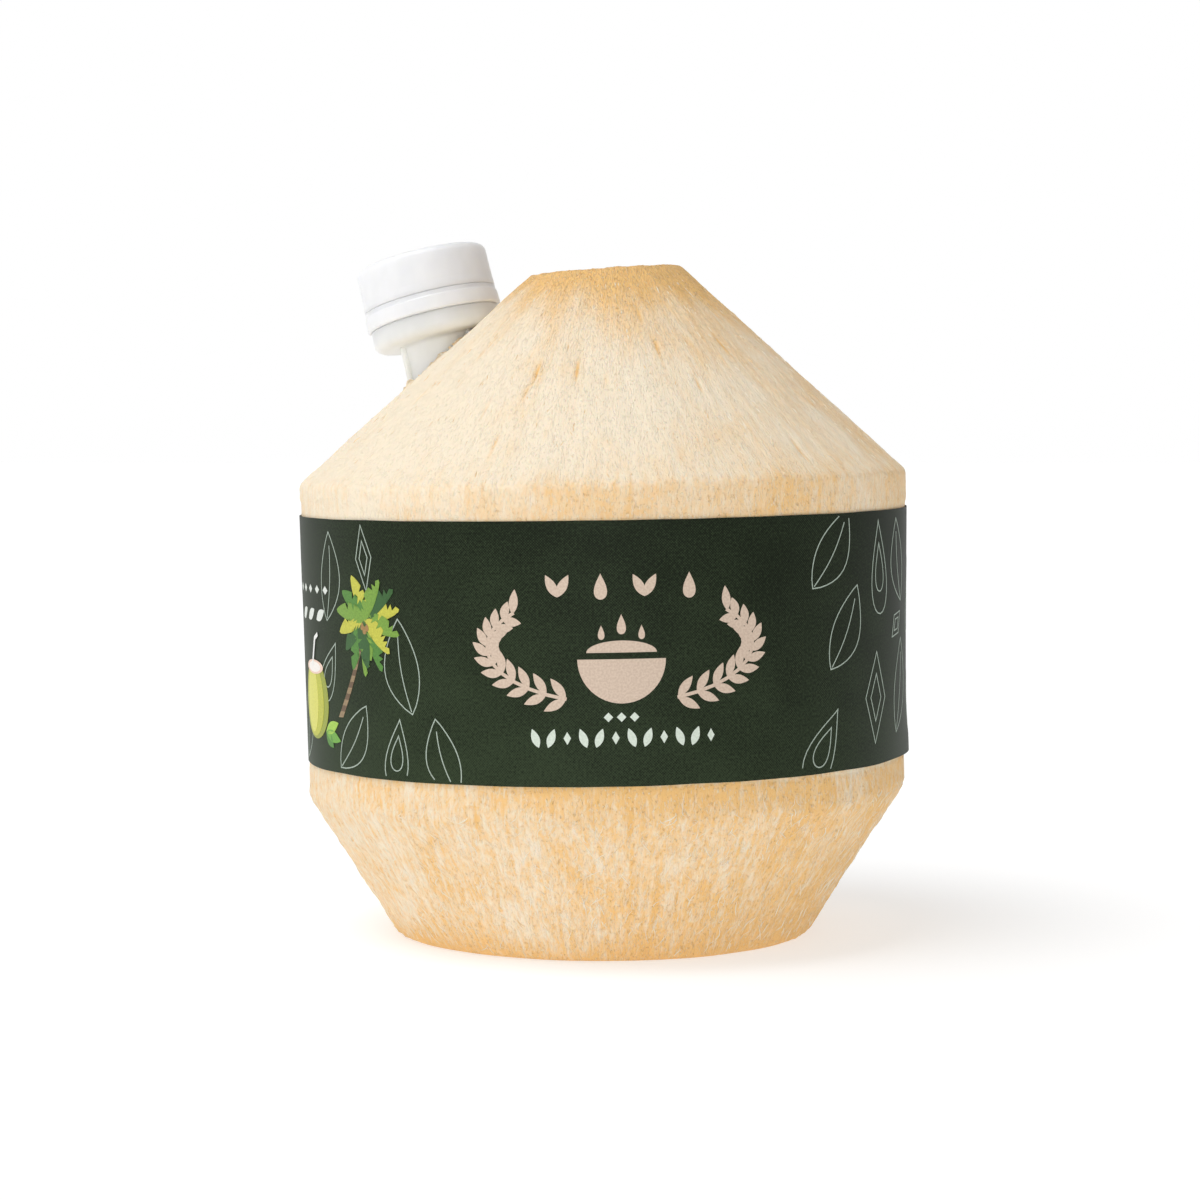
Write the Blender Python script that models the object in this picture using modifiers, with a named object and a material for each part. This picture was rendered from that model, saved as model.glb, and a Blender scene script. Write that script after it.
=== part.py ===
"""Trimmed young coconut with a printed waist label, a pushed-in drinking spout and its screw cap.

The husk is shaved to an upper cone, a short tapering waist and a lower cone, and stands on its cut base.
The three shaved sides were cut one after the other and do not quite share an axis.
Units are metres, +Z is up and -Y is the front of the label.
"""

import math

import bmesh
import bpy
from mathutils import Matrix, Vector

# ---- Clearances -------------------------------------------------------------------------------
FIT_GAP = 0.0003  # air between two pieces that touch on the real object

# ---- Husk ---------------------------------------------------------------------------------------
HUSK_HEIGHT = 0.1428
TOP_RADIUS = 0.0161
TOP_SLANT = math.radians(3.9)  # the flat top rises towards +X
SHOULDER_HEIGHT = 0.0980
SHOULDER_RADIUS = 0.0658  # of the upper cone, at the shoulder's height
UPPER_SHIFT = 0.00135  # of the upper cone's upright axis towards +X
WAIST_RADIUS = 0.0649  # half-way up the waist
WAIST_FLARE = 0.0010  # widening of the waist from its lower edge up to its shoulder
WAIST_LEAN = math.radians(0.9)  # of the waist's own axis towards -X
LOWER_EDGE_HEIGHT = 0.0290
LOWER_EDGE_RADIUS = 0.06305  # of the lower cone, at the lower edge's height
LOWER_SHIFT = -0.00056  # of the lower cone's upright axis towards +X
BASE_RADIUS = 0.0446
TOP_EDGE_ROUND = 0.0045
SHOULDER_ROUND = 0.0020
LOWER_EDGE_ROUND = 0.0050
BASE_EDGE_ROUND = 0.0033
HUSK_STEPS = 80

# ---- Label --------------------------------------------------------------------------------------
LABEL_BELOW = 0.0095  # bare waist under the label
LABEL_ABOVE = 0.0068  # bare waist over the label
LABEL_THICKNESS = 0.0003
LABEL_AIR = 0.00035  # between the round husk and the label's flat facets
LABEL_LAP = 0.010  # length of the glued overlap at the back
LABEL_LAP_RAMP = 0.008  # length over which the outer end climbs onto the inner one
LABEL_STEPS = 96

# ---- Spout, measured up its own axis from the lower edge of the tamper band -----------------------
SPOUT_AZIMUTH = math.radians(155.4)
SPOUT_LEAN = math.radians(15.1)
SPOUT_ENTRY_RADIUS = 0.0399  # where the spout's axis meets the upper cone, from the cone's own axis
SPOUT_STANDOFF = 0.0119  # from there to the lower edge of the tamper band
STEM_RADIUS = 0.0084
STEM_WALL = 0.0014
STEM_LENGTH = 0.0312
BARB_HEIGHT = 0.0010
BARB_PITCH = 0.0050
BARB_COUNT = 3
FIRST_BARB_DEPTH = 0.0135  # below the collar's underside
RIB_COUNT = 3
RIB_PHASE = math.radians(45)
RIB_WIDTH = 0.0014
RIB_HEIGHT = 0.0010
RIB_LENGTH = 0.0120
COLLAR_INSET = 0.0007  # how far the collar stays inside the tamper band's lower edge
COLLAR_HEIGHT = 0.0045
COLLAR_FLOOR = 0.0015
COLLAR_WALL = 0.0012
COLLAR_ROUND = 0.0020
NECK_RADIUS = 0.0115
NECK_WALL = 0.0016
BEAD_HEIGHT = 0.0011  # the ring on the neck that holds the tamper band down
BEAD_DEPTH = 0.0008
BEAD_RAMP = 0.0007
BAND_PLAY = 0.0009  # how far the band can rise before its hook meets the bead
LIP_ROUND = 0.0004
LIP_LAND = 0.0013  # plain neck over the end of the thread
SPOUT_STEPS = 48

# ---- Screw thread ---------------------------------------------------------------------------------
THREAD_PITCH = 0.0030
THREAD_TURNS = 1.2
THREAD_RISE = 0.0005  # start of the neck's thread over the cap's lower edge
THREAD_RIDGE = 0.0007  # half the width of a rounded ridge
THREAD_STANDS = 0.00025  # how far a ridge's middle stands off the wall that carries it
THREAD_CLEARANCE = 0.00055  # from the tallest of bead and ridge to the wall that faces it
THREAD_STEPS = 36  # points in one turn
THREAD_FADE = 5  # points over which a ridge's end sinks into the wall

# ---- Tamper band, cap and sealing disc --------------------------------------------------------------
BAND_HEIGHT = 0.0042
BAND_WALL = 0.00165
BAND_FLARE = 0.0003
BAND_HOOK_HEIGHT = 0.0013
BAND_HOOK_GAP = 0.0005
CAP_WALL = 0.00145
CAP_FLARE = 0.00015
CAP_ROOF = 0.0016
CAP_EDGE_ROUND = 0.0015
CAP_DOME = 0.0002
LINER_THICKNESS = 0.0012
CAP_STEPS = 48

# ---- Sizes that follow from the ones above ----------------------------------------------------------
WAIST_MIDDLE = (SHOULDER_HEIGHT + LOWER_EDGE_HEIGHT) / 2
LABEL_BOTTOM = LOWER_EDGE_HEIGHT + LABEL_BELOW
LABEL_TOP = SHOULDER_HEIGHT - LABEL_ABOVE
CAP_BORE_RADIUS = NECK_RADIUS + max(BEAD_HEIGHT, THREAD_STANDS + THREAD_RIDGE) + THREAD_CLEARANCE
CAP_RADIUS = CAP_BORE_RADIUS + CAP_WALL
CAP_SKIRT_RADIUS = CAP_RADIUS + CAP_FLARE
BAND_TOP_RADIUS = CAP_BORE_RADIUS + BAND_WALL
BAND_BOTTOM_RADIUS = BAND_TOP_RADIUS + BAND_FLARE
BEAD_UNDERSIDE = BAND_HOOK_HEIGHT + BAND_PLAY
CAP_BOTTOM = BAND_HEIGHT + FIT_GAP
THREAD_START = CAP_BOTTOM + THREAD_RISE
NECK_TOP = THREAD_START + THREAD_TURNS * THREAD_PITCH + THREAD_RIDGE + LIP_LAND
LINER_BOTTOM = NECK_TOP + FIT_GAP
LINER_TOP = LINER_BOTTOM + LINER_THICKNESS
CAP_CEILING = LINER_TOP + FIT_GAP
CAP_TOP = CAP_CEILING + CAP_ROOF
COLLAR_RADIUS = BAND_BOTTOM_RADIUS - COLLAR_INSET
COLLAR_TOP = -FIT_GAP
COLLAR_UNDERSIDE = COLLAR_TOP - COLLAR_HEIGHT
STEM_END = COLLAR_UNDERSIDE - STEM_LENGTH
STEM_BORE_RADIUS = STEM_RADIUS - STEM_WALL
NECK_BORE_RADIUS = NECK_RADIUS - NECK_WALL
WELL_RADIUS = STEM_RADIUS + max(BARB_HEIGHT, RIB_HEIGHT) + 2 * FIT_GAP
WELL_BOTTOM = STEM_END - 3 * FIT_GAP


def line_through(low, high):
    """A side of the husk as (radius at height 0, radius gained for each metre of height)."""
    gain = (high[0] - low[0]) / (high[1] - low[1])
    return low[0] - gain * low[1], gain


def upper_side(angle=None):
    """The upper cone's side at an angle about the Z axis, or about the cone's own axis if none is given."""
    start, gain = line_through((SHOULDER_RADIUS, SHOULDER_HEIGHT), (TOP_RADIUS, HUSK_HEIGHT))
    return (start if angle is None else start + UPPER_SHIFT * math.cos(angle)), gain


def waist_side(angle=None):
    narrow = (WAIST_RADIUS - WAIST_FLARE / 2, LOWER_EDGE_HEIGHT)
    wide = (WAIST_RADIUS + WAIST_FLARE / 2, SHOULDER_HEIGHT)
    start, gain = line_through(narrow, wide)
    if angle is None:
        return start, gain
    drift = math.tan(WAIST_LEAN) * math.cos(angle)
    return start + drift * WAIST_MIDDLE, gain - drift


def lower_side(angle):
    start, gain = line_through((BASE_RADIUS, 0.0), (LOWER_EDGE_RADIUS, LOWER_EDGE_HEIGHT))
    return start + LOWER_SHIFT * math.cos(angle), gain


def meeting(one, two):
    """Point of (radius, height) where two sides of the husk cross."""
    height = (two[0] - one[0]) / (one[1] - two[1])
    return one[0] + one[1] * height, height


def cone_height(radius):
    start, gain = upper_side()
    return (radius - start) / gain


def waist_radius(height):
    start, gain = waist_side()
    return start + gain * height


def rounded(before, corner, after, radius, segments=4):
    """Points of an arc that rounds a corner of a profile, tangent to both of its sides."""
    corner = Vector(corner)
    one = (Vector(before) - corner).normalized()
    two = (Vector(after) - corner).normalized()
    half = one.angle(two) / 2
    reach = radius / math.tan(half)
    centre = corner + (one + two).normalized() * (radius / math.sin(half))
    start = corner + one * reach - centre
    end = corner + two * reach - centre
    points = []
    for k in range(segments + 1):
        direction = start.slerp(end, k / segments).normalized()
        points.append(tuple(centre + direction * radius))
    return points


def material(name, colour, roughness, alpha=1.0):
    made = bpy.data.materials.new(name)
    made.use_nodes = True
    shader = made.node_tree.nodes["Principled BSDF"]
    shader.inputs["Base Color"].default_value = (*colour, 1.0)
    shader.inputs["Roughness"].default_value = roughness
    shader.inputs["Metallic"].default_value = 0.0
    shader.inputs["Alpha"].default_value = alpha
    return made


def clear_scene():
    for obj in list(bpy.data.objects):
        bpy.data.objects.remove(obj, do_unlink=True)


def collection(name):
    made = bpy.data.collections.new(name)
    bpy.context.scene.collection.children.link(made)
    return made


def empty(name, group, parent=None):
    made = bpy.data.objects.new(name, None)
    made.empty_display_size = 0.02
    group.objects.link(made)
    made.parent = parent
    return made


def as_cutter(obj):
    obj.hide_render = True
    obj.display_type = "WIRE"
    return obj


def turned(name, profile, steps, group, parent, closed=False):
    """A profile of (radius, height) points turned about the parent's Z axis."""
    mesh = bpy.data.meshes.new(name)
    count = len(profile)
    edges = [(k, k + 1) for k in range(count - 1)]
    if closed:
        edges.append((count - 1, 0))
    mesh.from_pydata([(r, 0.0, z) for r, z in profile], edges, [])
    obj = bpy.data.objects.new(name, mesh)
    group.objects.link(obj)
    obj.parent = parent
    screw = obj.modifiers.new("turn", "SCREW")
    screw.axis = "Z"
    screw.steps = steps
    screw.render_steps = steps
    screw.use_merge_vertices = True
    screw.merge_threshold = 0.00001
    return obj


def boolean(obj, other, operation):
    cut = obj.modifiers.new(other.name, "BOOLEAN")
    cut.operation = operation
    cut.object = other
    cut.solver = "EXACT"


def box(name, size, group, parent=None):
    """A box primitive with its real size in the mesh, so that no scale is left on the object."""
    bpy.ops.mesh.primitive_cube_add(size=1)
    obj = bpy.context.object
    obj.name = name
    obj.data.transform(Matrix.Diagonal((*size, 1.0)))
    for holder in list(obj.users_collection):
        holder.objects.unlink(obj)
    group.objects.link(obj)
    obj.parent = parent
    return obj


def husk_outline(angle):
    """Points of (radius, height) at one angle, from the edge of the flat top down to that of the base."""
    upper, waist, lower = upper_side(angle), waist_side(angle), lower_side(angle)
    rise = math.tan(TOP_SLANT) * math.cos(angle)
    top_height = (HUSK_HEIGHT + rise * upper[0]) / (1 - rise * upper[1])
    top = (upper[0] + upper[1] * top_height, top_height)
    shoulder = meeting(upper, waist)
    lower_edge = meeting(waist, lower)
    base = (lower[0], 0.0)
    return [
        *rounded((0.0, HUSK_HEIGHT), top, shoulder, TOP_EDGE_ROUND, 3),
        *rounded(top, shoulder, lower_edge, SHOULDER_ROUND),
        *rounded(shoulder, lower_edge, base, LOWER_EDGE_ROUND),
        *rounded(lower_edge, base, (0.0, 0.0), BASE_EDGE_ROUND, 3),
    ]


def make_coconut(parts, cutters, spout_axis):
    """The whole fruit in one piece: the shaved husk, then the well drilled for the spout."""
    points = [(0.0, 0.0, HUSK_HEIGHT)]
    for step in range(HUSK_STEPS):
        angle = 2 * math.pi * step / HUSK_STEPS
        outline = husk_outline(angle)
        points.extend((r * math.cos(angle), r * math.sin(angle), z) for r, z in outline)
    points.append((0.0, 0.0, 0.0))
    count = len(outline)
    faces = []
    for step in range(HUSK_STEPS):
        here = 1 + step * count
        there = 1 + (step + 1) % HUSK_STEPS * count
        faces.append((0, here, there))
        faces.extend((here + k, here + k + 1, there + k + 1, there + k) for k in range(count - 1))
        faces.append((here + count - 1, len(points) - 1, there + count - 1))
    mesh = bpy.data.meshes.new("coconut")
    mesh.from_pydata(points, [], faces)
    husk = bpy.data.objects.new("coconut", mesh)
    parts.objects.link(husk)
    boolean(husk, well_cutter(cutters, spout_axis), "DIFFERENCE")
    husk.data.materials.append(material("shaved husk", (0.88, 0.70, 0.47), 0.75))
    return husk


def well_cutter(cutters, spout_axis):
    """Room for the spout: the drilled well, and the pocket where the collar bites into the uphill side."""
    above = CAP_TOP + 2 * THREAD_PITCH
    band_room = BAND_BOTTOM_RADIUS + FIT_GAP
    collar_room = COLLAR_RADIUS + FIT_GAP
    profile = [
        (0.0, above),
        (band_room, above),
        (band_room, COLLAR_TOP),
        (collar_room, COLLAR_TOP - FIT_GAP),
        (collar_room, COLLAR_UNDERSIDE - FIT_GAP),
        (WELL_RADIUS, COLLAR_UNDERSIDE - FIT_GAP),
        (WELL_RADIUS, WELL_BOTTOM),
        (0.0, WELL_BOTTOM),
    ]
    return as_cutter(turned("spout_well", profile, SPOUT_STEPS, cutters, spout_axis))


def make_label(parts, waist_axis):
    """A strip wrapped round the waist, its outer end lapped over the inner one at the back."""
    middle = (LABEL_BOTTOM + LABEL_TOP) / 2
    lap = LABEL_LAP / waist_radius(middle)
    ramp = LABEL_LAP_RAMP / waist_radius(middle)
    climb = LABEL_THICKNESS + FIT_GAP
    sweep = 2 * math.pi + lap
    columns = [sweep * k / LABEL_STEPS for k in range(LABEL_STEPS + 1)]
    points = []
    for height in (LABEL_BOTTOM, LABEL_TOP):
        for angle in columns:
            lifted = min(1.0, max(0.0, (angle - 2 * math.pi + ramp) / ramp))
            radius = waist_radius(height) + LABEL_AIR + climb * lifted
            turn = math.pi / 2 + angle
            points.append((radius * math.cos(turn), radius * math.sin(turn), height))
    row = len(columns)
    faces = [(k, k + 1, row + k + 1, row + k) for k in range(row - 1)]
    mesh = bpy.data.meshes.new("label")
    mesh.from_pydata(points, [], faces)
    label = bpy.data.objects.new("label", mesh)
    parts.objects.link(label)
    label.parent = waist_axis
    film = label.modifiers.new("film", "SOLIDIFY")
    film.thickness = LABEL_THICKNESS
    film.offset = 1.0
    label.data.materials.append(material("printed film", (0.022, 0.032, 0.020), 0.45))
    return label


def spout_profile():
    """Outer side from the lip down to the stem's end, then back up the bore."""
    collar_inner = COLLAR_RADIUS - COLLAR_WALL
    collar_floor = COLLAR_UNDERSIDE + COLLAR_FLOOR
    bead = NECK_RADIUS + BEAD_HEIGHT
    outer = [
        (NECK_RADIUS - LIP_ROUND, NECK_TOP),
        (NECK_RADIUS, NECK_TOP - LIP_ROUND),
        (NECK_RADIUS, BEAD_UNDERSIDE + BEAD_DEPTH + BEAD_RAMP),
        (bead, BEAD_UNDERSIDE + BEAD_DEPTH),
        (bead, BEAD_UNDERSIDE),
        (NECK_RADIUS, BEAD_UNDERSIDE),
        (NECK_RADIUS, collar_floor),
        (collar_inner, collar_floor),
        (collar_inner, COLLAR_TOP),
        (COLLAR_RADIUS, COLLAR_TOP),
        *rounded(
            (COLLAR_RADIUS, COLLAR_TOP),
            (COLLAR_RADIUS, COLLAR_UNDERSIDE),
            (STEM_RADIUS, COLLAR_UNDERSIDE),
            COLLAR_ROUND,
        ),
        (STEM_RADIUS, COLLAR_UNDERSIDE),
    ]
    for k in range(BARB_COUNT):
        level = COLLAR_UNDERSIDE - FIRST_BARB_DEPTH - k * BARB_PITCH
        outer.append((STEM_RADIUS, level))
        outer.append((STEM_RADIUS + BARB_HEIGHT, level))
        outer.append((STEM_RADIUS, level - 0.6 * BARB_PITCH))
    outer.append((STEM_RADIUS, STEM_END + LIP_ROUND))
    outer.append((STEM_RADIUS - LIP_ROUND, STEM_END))
    step = NECK_BORE_RADIUS - STEM_BORE_RADIUS
    bore = [
        (STEM_BORE_RADIUS, STEM_END),
        (STEM_BORE_RADIUS, COLLAR_UNDERSIDE),
        (NECK_BORE_RADIUS, COLLAR_UNDERSIDE + 1.6 * step),
        (NECK_BORE_RADIUS, NECK_TOP - LIP_ROUND),
        (NECK_BORE_RADIUS + LIP_ROUND, NECK_TOP),
    ]
    return outer + bore


def thread_ridge(name, radius, first_turn, offset, group, parent):
    """A rounded right-hand ridge along a helix, its two ends fading into the wall that carries it."""
    count = round(THREAD_TURNS * THREAD_STEPS) + 1
    curve = bpy.data.curves.new(name, "CURVE")
    curve.dimensions = "3D"
    curve.bevel_depth = THREAD_RIDGE
    curve.bevel_resolution = 2
    curve.use_fill_caps = True
    spline = curve.splines.new("POLY")
    spline.points.add(count - 1)
    for k, point in enumerate(spline.points):
        turns = first_turn + k / THREAD_STEPS
        angle = 2 * math.pi * turns
        height = THREAD_START + offset + THREAD_PITCH * turns
        point.co = (radius * math.cos(angle), radius * math.sin(angle), height, 1.0)
        point.radius = min(1.0, 0.4 + 0.6 * min(k, count - 1 - k) / THREAD_FADE)
    guide = bpy.data.objects.new(name + "_guide", curve)
    group.objects.link(guide)
    guide.parent = parent
    return as_cutter(mesh_of(guide, name, group, parent))


def mesh_of(guide, name, group, parent):
    """The curve's evaluated mesh with its caps welded, as a new object; the curve is removed."""
    bpy.context.view_layer.update()
    graph = bpy.context.evaluated_depsgraph_get()
    mesh = bpy.data.meshes.new_from_object(guide.evaluated_get(graph))
    shape = bmesh.new()
    shape.from_mesh(mesh)
    bmesh.ops.remove_doubles(shape, verts=shape.verts, dist=0.00001)
    bmesh.ops.recalc_face_normals(shape, faces=shape.faces)
    shape.to_mesh(mesh)
    shape.free()
    mesh.name = name
    obj = bpy.data.objects.new(name, mesh)
    group.objects.link(obj)
    obj.parent = parent
    bpy.data.objects.remove(guide, do_unlink=True)
    return obj


def make_spout(parts, cutters, spout_axis):
    """Threaded neck, cup-shaped collar, and a barbed and ribbed stem that grips the drilled husk."""
    profile = spout_profile()
    spout = turned("spout", profile, SPOUT_STEPS, parts, spout_axis, closed=True)
    ridge = thread_ridge("neck_thread", NECK_RADIUS + THREAD_STANDS, 0.0, 0.0, cutters, spout_axis)
    boolean(spout, ridge, "UNION")
    embed = (STEM_RADIUS - STEM_BORE_RADIUS) / 2
    for k in range(RIB_COUNT):
        rib = box(f"stem_rib_{k + 1}", (RIB_HEIGHT + embed, RIB_WIDTH, RIB_LENGTH), cutters, spout_axis)
        turn = Matrix.Rotation(RIB_PHASE + 2 * math.pi * k / RIB_COUNT, 4, "Z")
        reach = STEM_RADIUS + (RIB_HEIGHT - embed) / 2
        top = COLLAR_UNDERSIDE + COLLAR_FLOOR / 2
        rib.matrix_local = turn @ Matrix.Translation((reach, 0, top - RIB_LENGTH / 2))
        boolean(spout, as_cutter(rib), "UNION")
    spout.data.materials.append(material("clear polyethylene", (0.80, 0.79, 0.74), 0.35, 0.7))
    return spout


def make_tamper_band(parts, spout_axis):
    """The ring left on the neck: flared outside, with a hook inside that catches under the neck's bead."""
    bore = CAP_BORE_RADIUS
    hook = NECK_RADIUS + BAND_HOOK_GAP
    profile = [
        (BAND_TOP_RADIUS, BAND_HEIGHT),
        (BAND_BOTTOM_RADIUS, LIP_ROUND),
        (BAND_BOTTOM_RADIUS - LIP_ROUND, 0.0),
        (hook + LIP_ROUND, 0.0),
        (hook, BAND_HOOK_HEIGHT),
        (bore, BAND_HOOK_HEIGHT),
        (bore, BAND_HEIGHT),
    ]
    band = turned("tamper_band", profile, CAP_STEPS, parts, spout_axis, closed=True)
    band.data.materials.append(material("white polyethylene band", (0.90, 0.90, 0.90), 0.40))
    return band


def make_cap(parts, cutters, spout_axis):
    """Plain-sided cap with a softly domed roof and one rounded thread ridge inside."""
    roof_edge = CAP_RADIUS - CAP_EDGE_ROUND
    profile = [
        (0.0, CAP_TOP + CAP_DOME),
        (roof_edge / 2, CAP_TOP + 0.75 * CAP_DOME),
        *rounded((0.0, CAP_TOP), (CAP_RADIUS, CAP_TOP), (CAP_RADIUS, CAP_BOTTOM), CAP_EDGE_ROUND),
        (CAP_SKIRT_RADIUS, CAP_BOTTOM + LIP_ROUND),
        (CAP_SKIRT_RADIUS - LIP_ROUND, CAP_BOTTOM),
        (CAP_BORE_RADIUS, CAP_BOTTOM),
        (CAP_BORE_RADIUS, CAP_CEILING),
        (0.0, CAP_CEILING),
    ]
    cap = turned("cap", profile, CAP_STEPS, parts, spout_axis)
    cap_ridge = CAP_BORE_RADIUS - THREAD_STANDS
    half_turn_down = -THREAD_PITCH / 2
    first_turn = (CAP_BOTTOM + THREAD_RIDGE - THREAD_START - half_turn_down) / THREAD_PITCH
    ridge = thread_ridge("cap_thread", cap_ridge, first_turn, half_turn_down, cutters, spout_axis)
    boolean(cap, ridge, "UNION")
    cap.data.materials.append(material("white polyethylene", (0.90, 0.90, 0.90), 0.38))
    return cap


def make_cap_liner(parts, spout_axis):
    """Foamed sealing disc that lies loose under the cap's roof and closes the neck."""
    radius = CAP_BORE_RADIUS - FIT_GAP
    profile = [(0.0, LINER_TOP), (radius, LINER_TOP), (radius, LINER_BOTTOM), (0.0, LINER_BOTTOM)]
    liner = turned("cap_liner", profile, CAP_STEPS, parts, spout_axis)
    liner.data.materials.append(material("foam disc", (0.85, 0.85, 0.82), 0.70))
    return liner


def place_spout_axis(spout_axis):
    """Origin at the tamper band's lower edge, Z up the neck, X leaning down the slope of the cone."""
    outward = Vector((math.cos(SPOUT_AZIMUTH), math.sin(SPOUT_AZIMUTH), 0.0))
    entry = outward * SPOUT_ENTRY_RADIUS + Vector((UPPER_SHIFT, 0, cone_height(SPOUT_ENTRY_RADIUS)))
    along = outward * math.sin(SPOUT_LEAN) + Vector((0, 0, math.cos(SPOUT_LEAN)))
    spout_axis.location = entry + along * SPOUT_STANDOFF
    spout_axis.rotation_euler = (0.0, SPOUT_LEAN, SPOUT_AZIMUTH)


def place_waist_axis(waist_axis):
    """The waist leans towards -X about its middle."""
    pivot = Vector((0, 0, WAIST_MIDDLE))
    lean = Matrix.Rotation(-WAIST_LEAN, 4, "Y")
    waist_axis.matrix_world = Matrix.Translation(pivot) @ lean @ Matrix.Translation(-pivot)


def main():
    clear_scene()
    parts = collection("young_coconut")
    cutters = collection("cutters")
    waist_axis = empty("waist_axis", parts)
    place_waist_axis(waist_axis)
    spout_axis = empty("spout_axis", parts)
    place_spout_axis(spout_axis)
    bpy.context.view_layer.update()
    make_coconut(parts, cutters, spout_axis)
    make_label(parts, waist_axis)
    make_spout(parts, cutters, spout_axis)
    make_tamper_band(parts, spout_axis)
    make_cap(parts, cutters, spout_axis)
    make_cap_liner(parts, spout_axis)
    bpy.context.view_layer.update()
    for obj in parts.objects:
        if obj.type == "MESH":
            obj.data.shade_smooth()
            obj.data.set_sharp_from_angle(angle=math.radians(30))


main()
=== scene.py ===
"""Looks of a trimmed young coconut with a drinking spout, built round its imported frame.

Laid out as an add-on with one operator for each group of pieces, and run as a script.
Units are metres, +Z is up and -Y is the front of the label.
"""

import math
import random

import bmesh
import bpy
import numpy as np
from bpy.props import FloatProperty, FloatVectorProperty, IntProperty, PointerProperty
from bpy.types import Operator, Panel, PropertyGroup
from mathutils import Matrix, Vector, noise


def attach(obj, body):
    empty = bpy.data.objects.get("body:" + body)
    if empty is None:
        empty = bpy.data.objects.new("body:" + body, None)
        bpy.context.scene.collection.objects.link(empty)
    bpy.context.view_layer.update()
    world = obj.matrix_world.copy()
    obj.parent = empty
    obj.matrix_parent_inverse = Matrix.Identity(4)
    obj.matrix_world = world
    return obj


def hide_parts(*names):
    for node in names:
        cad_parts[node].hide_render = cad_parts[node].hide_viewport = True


bl_info = {
    "name": "Young coconut looks",
    "version": (1, 0, 0),
    "blender": (4, 5, 0),
    "location": "3D View > Sidebar > Coconut",
    "description": "Builds the visible pieces of a trimmed young coconut round its packed frame",
    "category": "Object",
}

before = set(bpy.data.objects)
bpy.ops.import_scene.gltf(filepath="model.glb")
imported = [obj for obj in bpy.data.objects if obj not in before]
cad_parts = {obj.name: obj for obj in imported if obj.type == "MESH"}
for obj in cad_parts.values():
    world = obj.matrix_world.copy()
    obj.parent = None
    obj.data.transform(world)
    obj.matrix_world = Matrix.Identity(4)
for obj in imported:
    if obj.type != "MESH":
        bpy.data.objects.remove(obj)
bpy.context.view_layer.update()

# ---- Sizes shared with the solids ----------------------------------------------------------------
HUSK_HEIGHT = 0.1428
TOP_RADIUS = 0.0161
TOP_SLANT = math.radians(3.9)
SHOULDER_HEIGHT = 0.0980
SHOULDER_RADIUS = 0.0658
UPPER_SHIFT = 0.00135
WAIST_RADIUS = 0.0649
WAIST_FLARE = 0.0010
WAIST_LEAN = math.radians(0.9)
LOWER_EDGE_HEIGHT = 0.0290
LOWER_EDGE_RADIUS = 0.06305
LOWER_SHIFT = -0.00056
BASE_RADIUS = 0.0446
WAIST_MIDDLE = (SHOULDER_HEIGHT + LOWER_EDGE_HEIGHT) / 2

LABEL_BOTTOM = 0.0385
LABEL_TOP = 0.0912
LABEL_HEIGHT = LABEL_TOP - LABEL_BOTTOM
LABEL_RADIUS = 0.0653  # at mid height; turns a distance along the film into an angle
LABEL_LAP = 0.010
LABEL_LAP_RAMP = 0.008

SPOUT_AZIMUTH = math.radians(155.4)
SPOUT_LEAN = math.radians(15.1)
SPOUT_ENTRY_RADIUS = 0.0399
SPOUT_STANDOFF = 0.0119
STEM_RADIUS = 0.0084
STEM_BORE = 0.0070
STEM_END = -0.0360
COLLAR_RADIUS = 0.0144
COLLAR_TOP = -0.0003
COLLAR_UNDERSIDE = -0.0048
NECK_RADIUS = 0.0115
NECK_BORE = 0.0099
NECK_TOP = 0.0106
BEAD_UNDERSIDE = 0.0022
THREAD_PITCH = 0.0030
THREAD_TURNS = 1.2
THREAD_START = 0.0050
THREAD_RIDGE = 0.0007
THREAD_STANDS = 0.00025
BAND_HEIGHT = 0.0042
BAND_TOP_RADIUS = 0.0148
BAND_BOTTOM_RADIUS = 0.0151
CAP_BOTTOM = 0.0045
CAP_BORE = 0.01315
CAP_RADIUS = 0.0146
CAP_SKIRT_RADIUS = 0.01475
CAP_CEILING = 0.0124
CAP_TOP = 0.0140

# ---- How finely the pieces are made --------------------------------------------------------------
HUSK_COLUMNS = 480
FILM_COLUMNS = 300
FILM_ROWS = 20
TURNED_STEPS = 128


# ---- Settings ------------------------------------------------------------------------------------
def colour(name, description, value):
    return FloatVectorProperty(
        name=name, description=description, default=value, size=3, min=0.0, max=1.0, subtype="COLOR"
    )


def amount(name, description, value, **kind):
    return FloatProperty(name=name, description=description, default=value, min=0.0, **kind)


def distance(name, description, value):
    return amount(name, description, value, subtype="DISTANCE", unit="LENGTH")


def turn(name, description, degrees):
    return amount(name, description, math.radians(degrees), subtype="ANGLE")


def count(name, description, value):
    return IntProperty(name=name, description=description, default=value, min=0)


class HuskSettings(PropertyGroup):
    relief: distance("Relief", "Height of the widest waves that the knife left", 0.00028)
    strokes: distance("Fibre relief", "Height of the fine ridges that run down the fruit", 0.00022)
    lip: distance("Torn lip", "Height of the torn husk round the spout", 0.0018)
    slivers: count("Slivers", "Loose fibres on the shaved sides", 2600)
    tears: count("Tears", "Short grooves where a fibre was pulled out", 90)
    # Flesh and stain are the husk's own colours, and the tone that mixes them also holds painted shade:
    # browner on the right side, paler on the left.
    flesh: colour("Flesh", "Freshly shaved husk", (0.91, 0.79, 0.61))
    stain: colour("Stain", "Husk that has browned in the air", (0.89, 0.55, 0.215))
    fibre: colour("Fibre", "Bright fibre ends", (0.94, 0.85, 0.68))
    pore: colour("Pore", "Dark pores and slits", (0.52, 0.30, 0.12))


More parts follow.
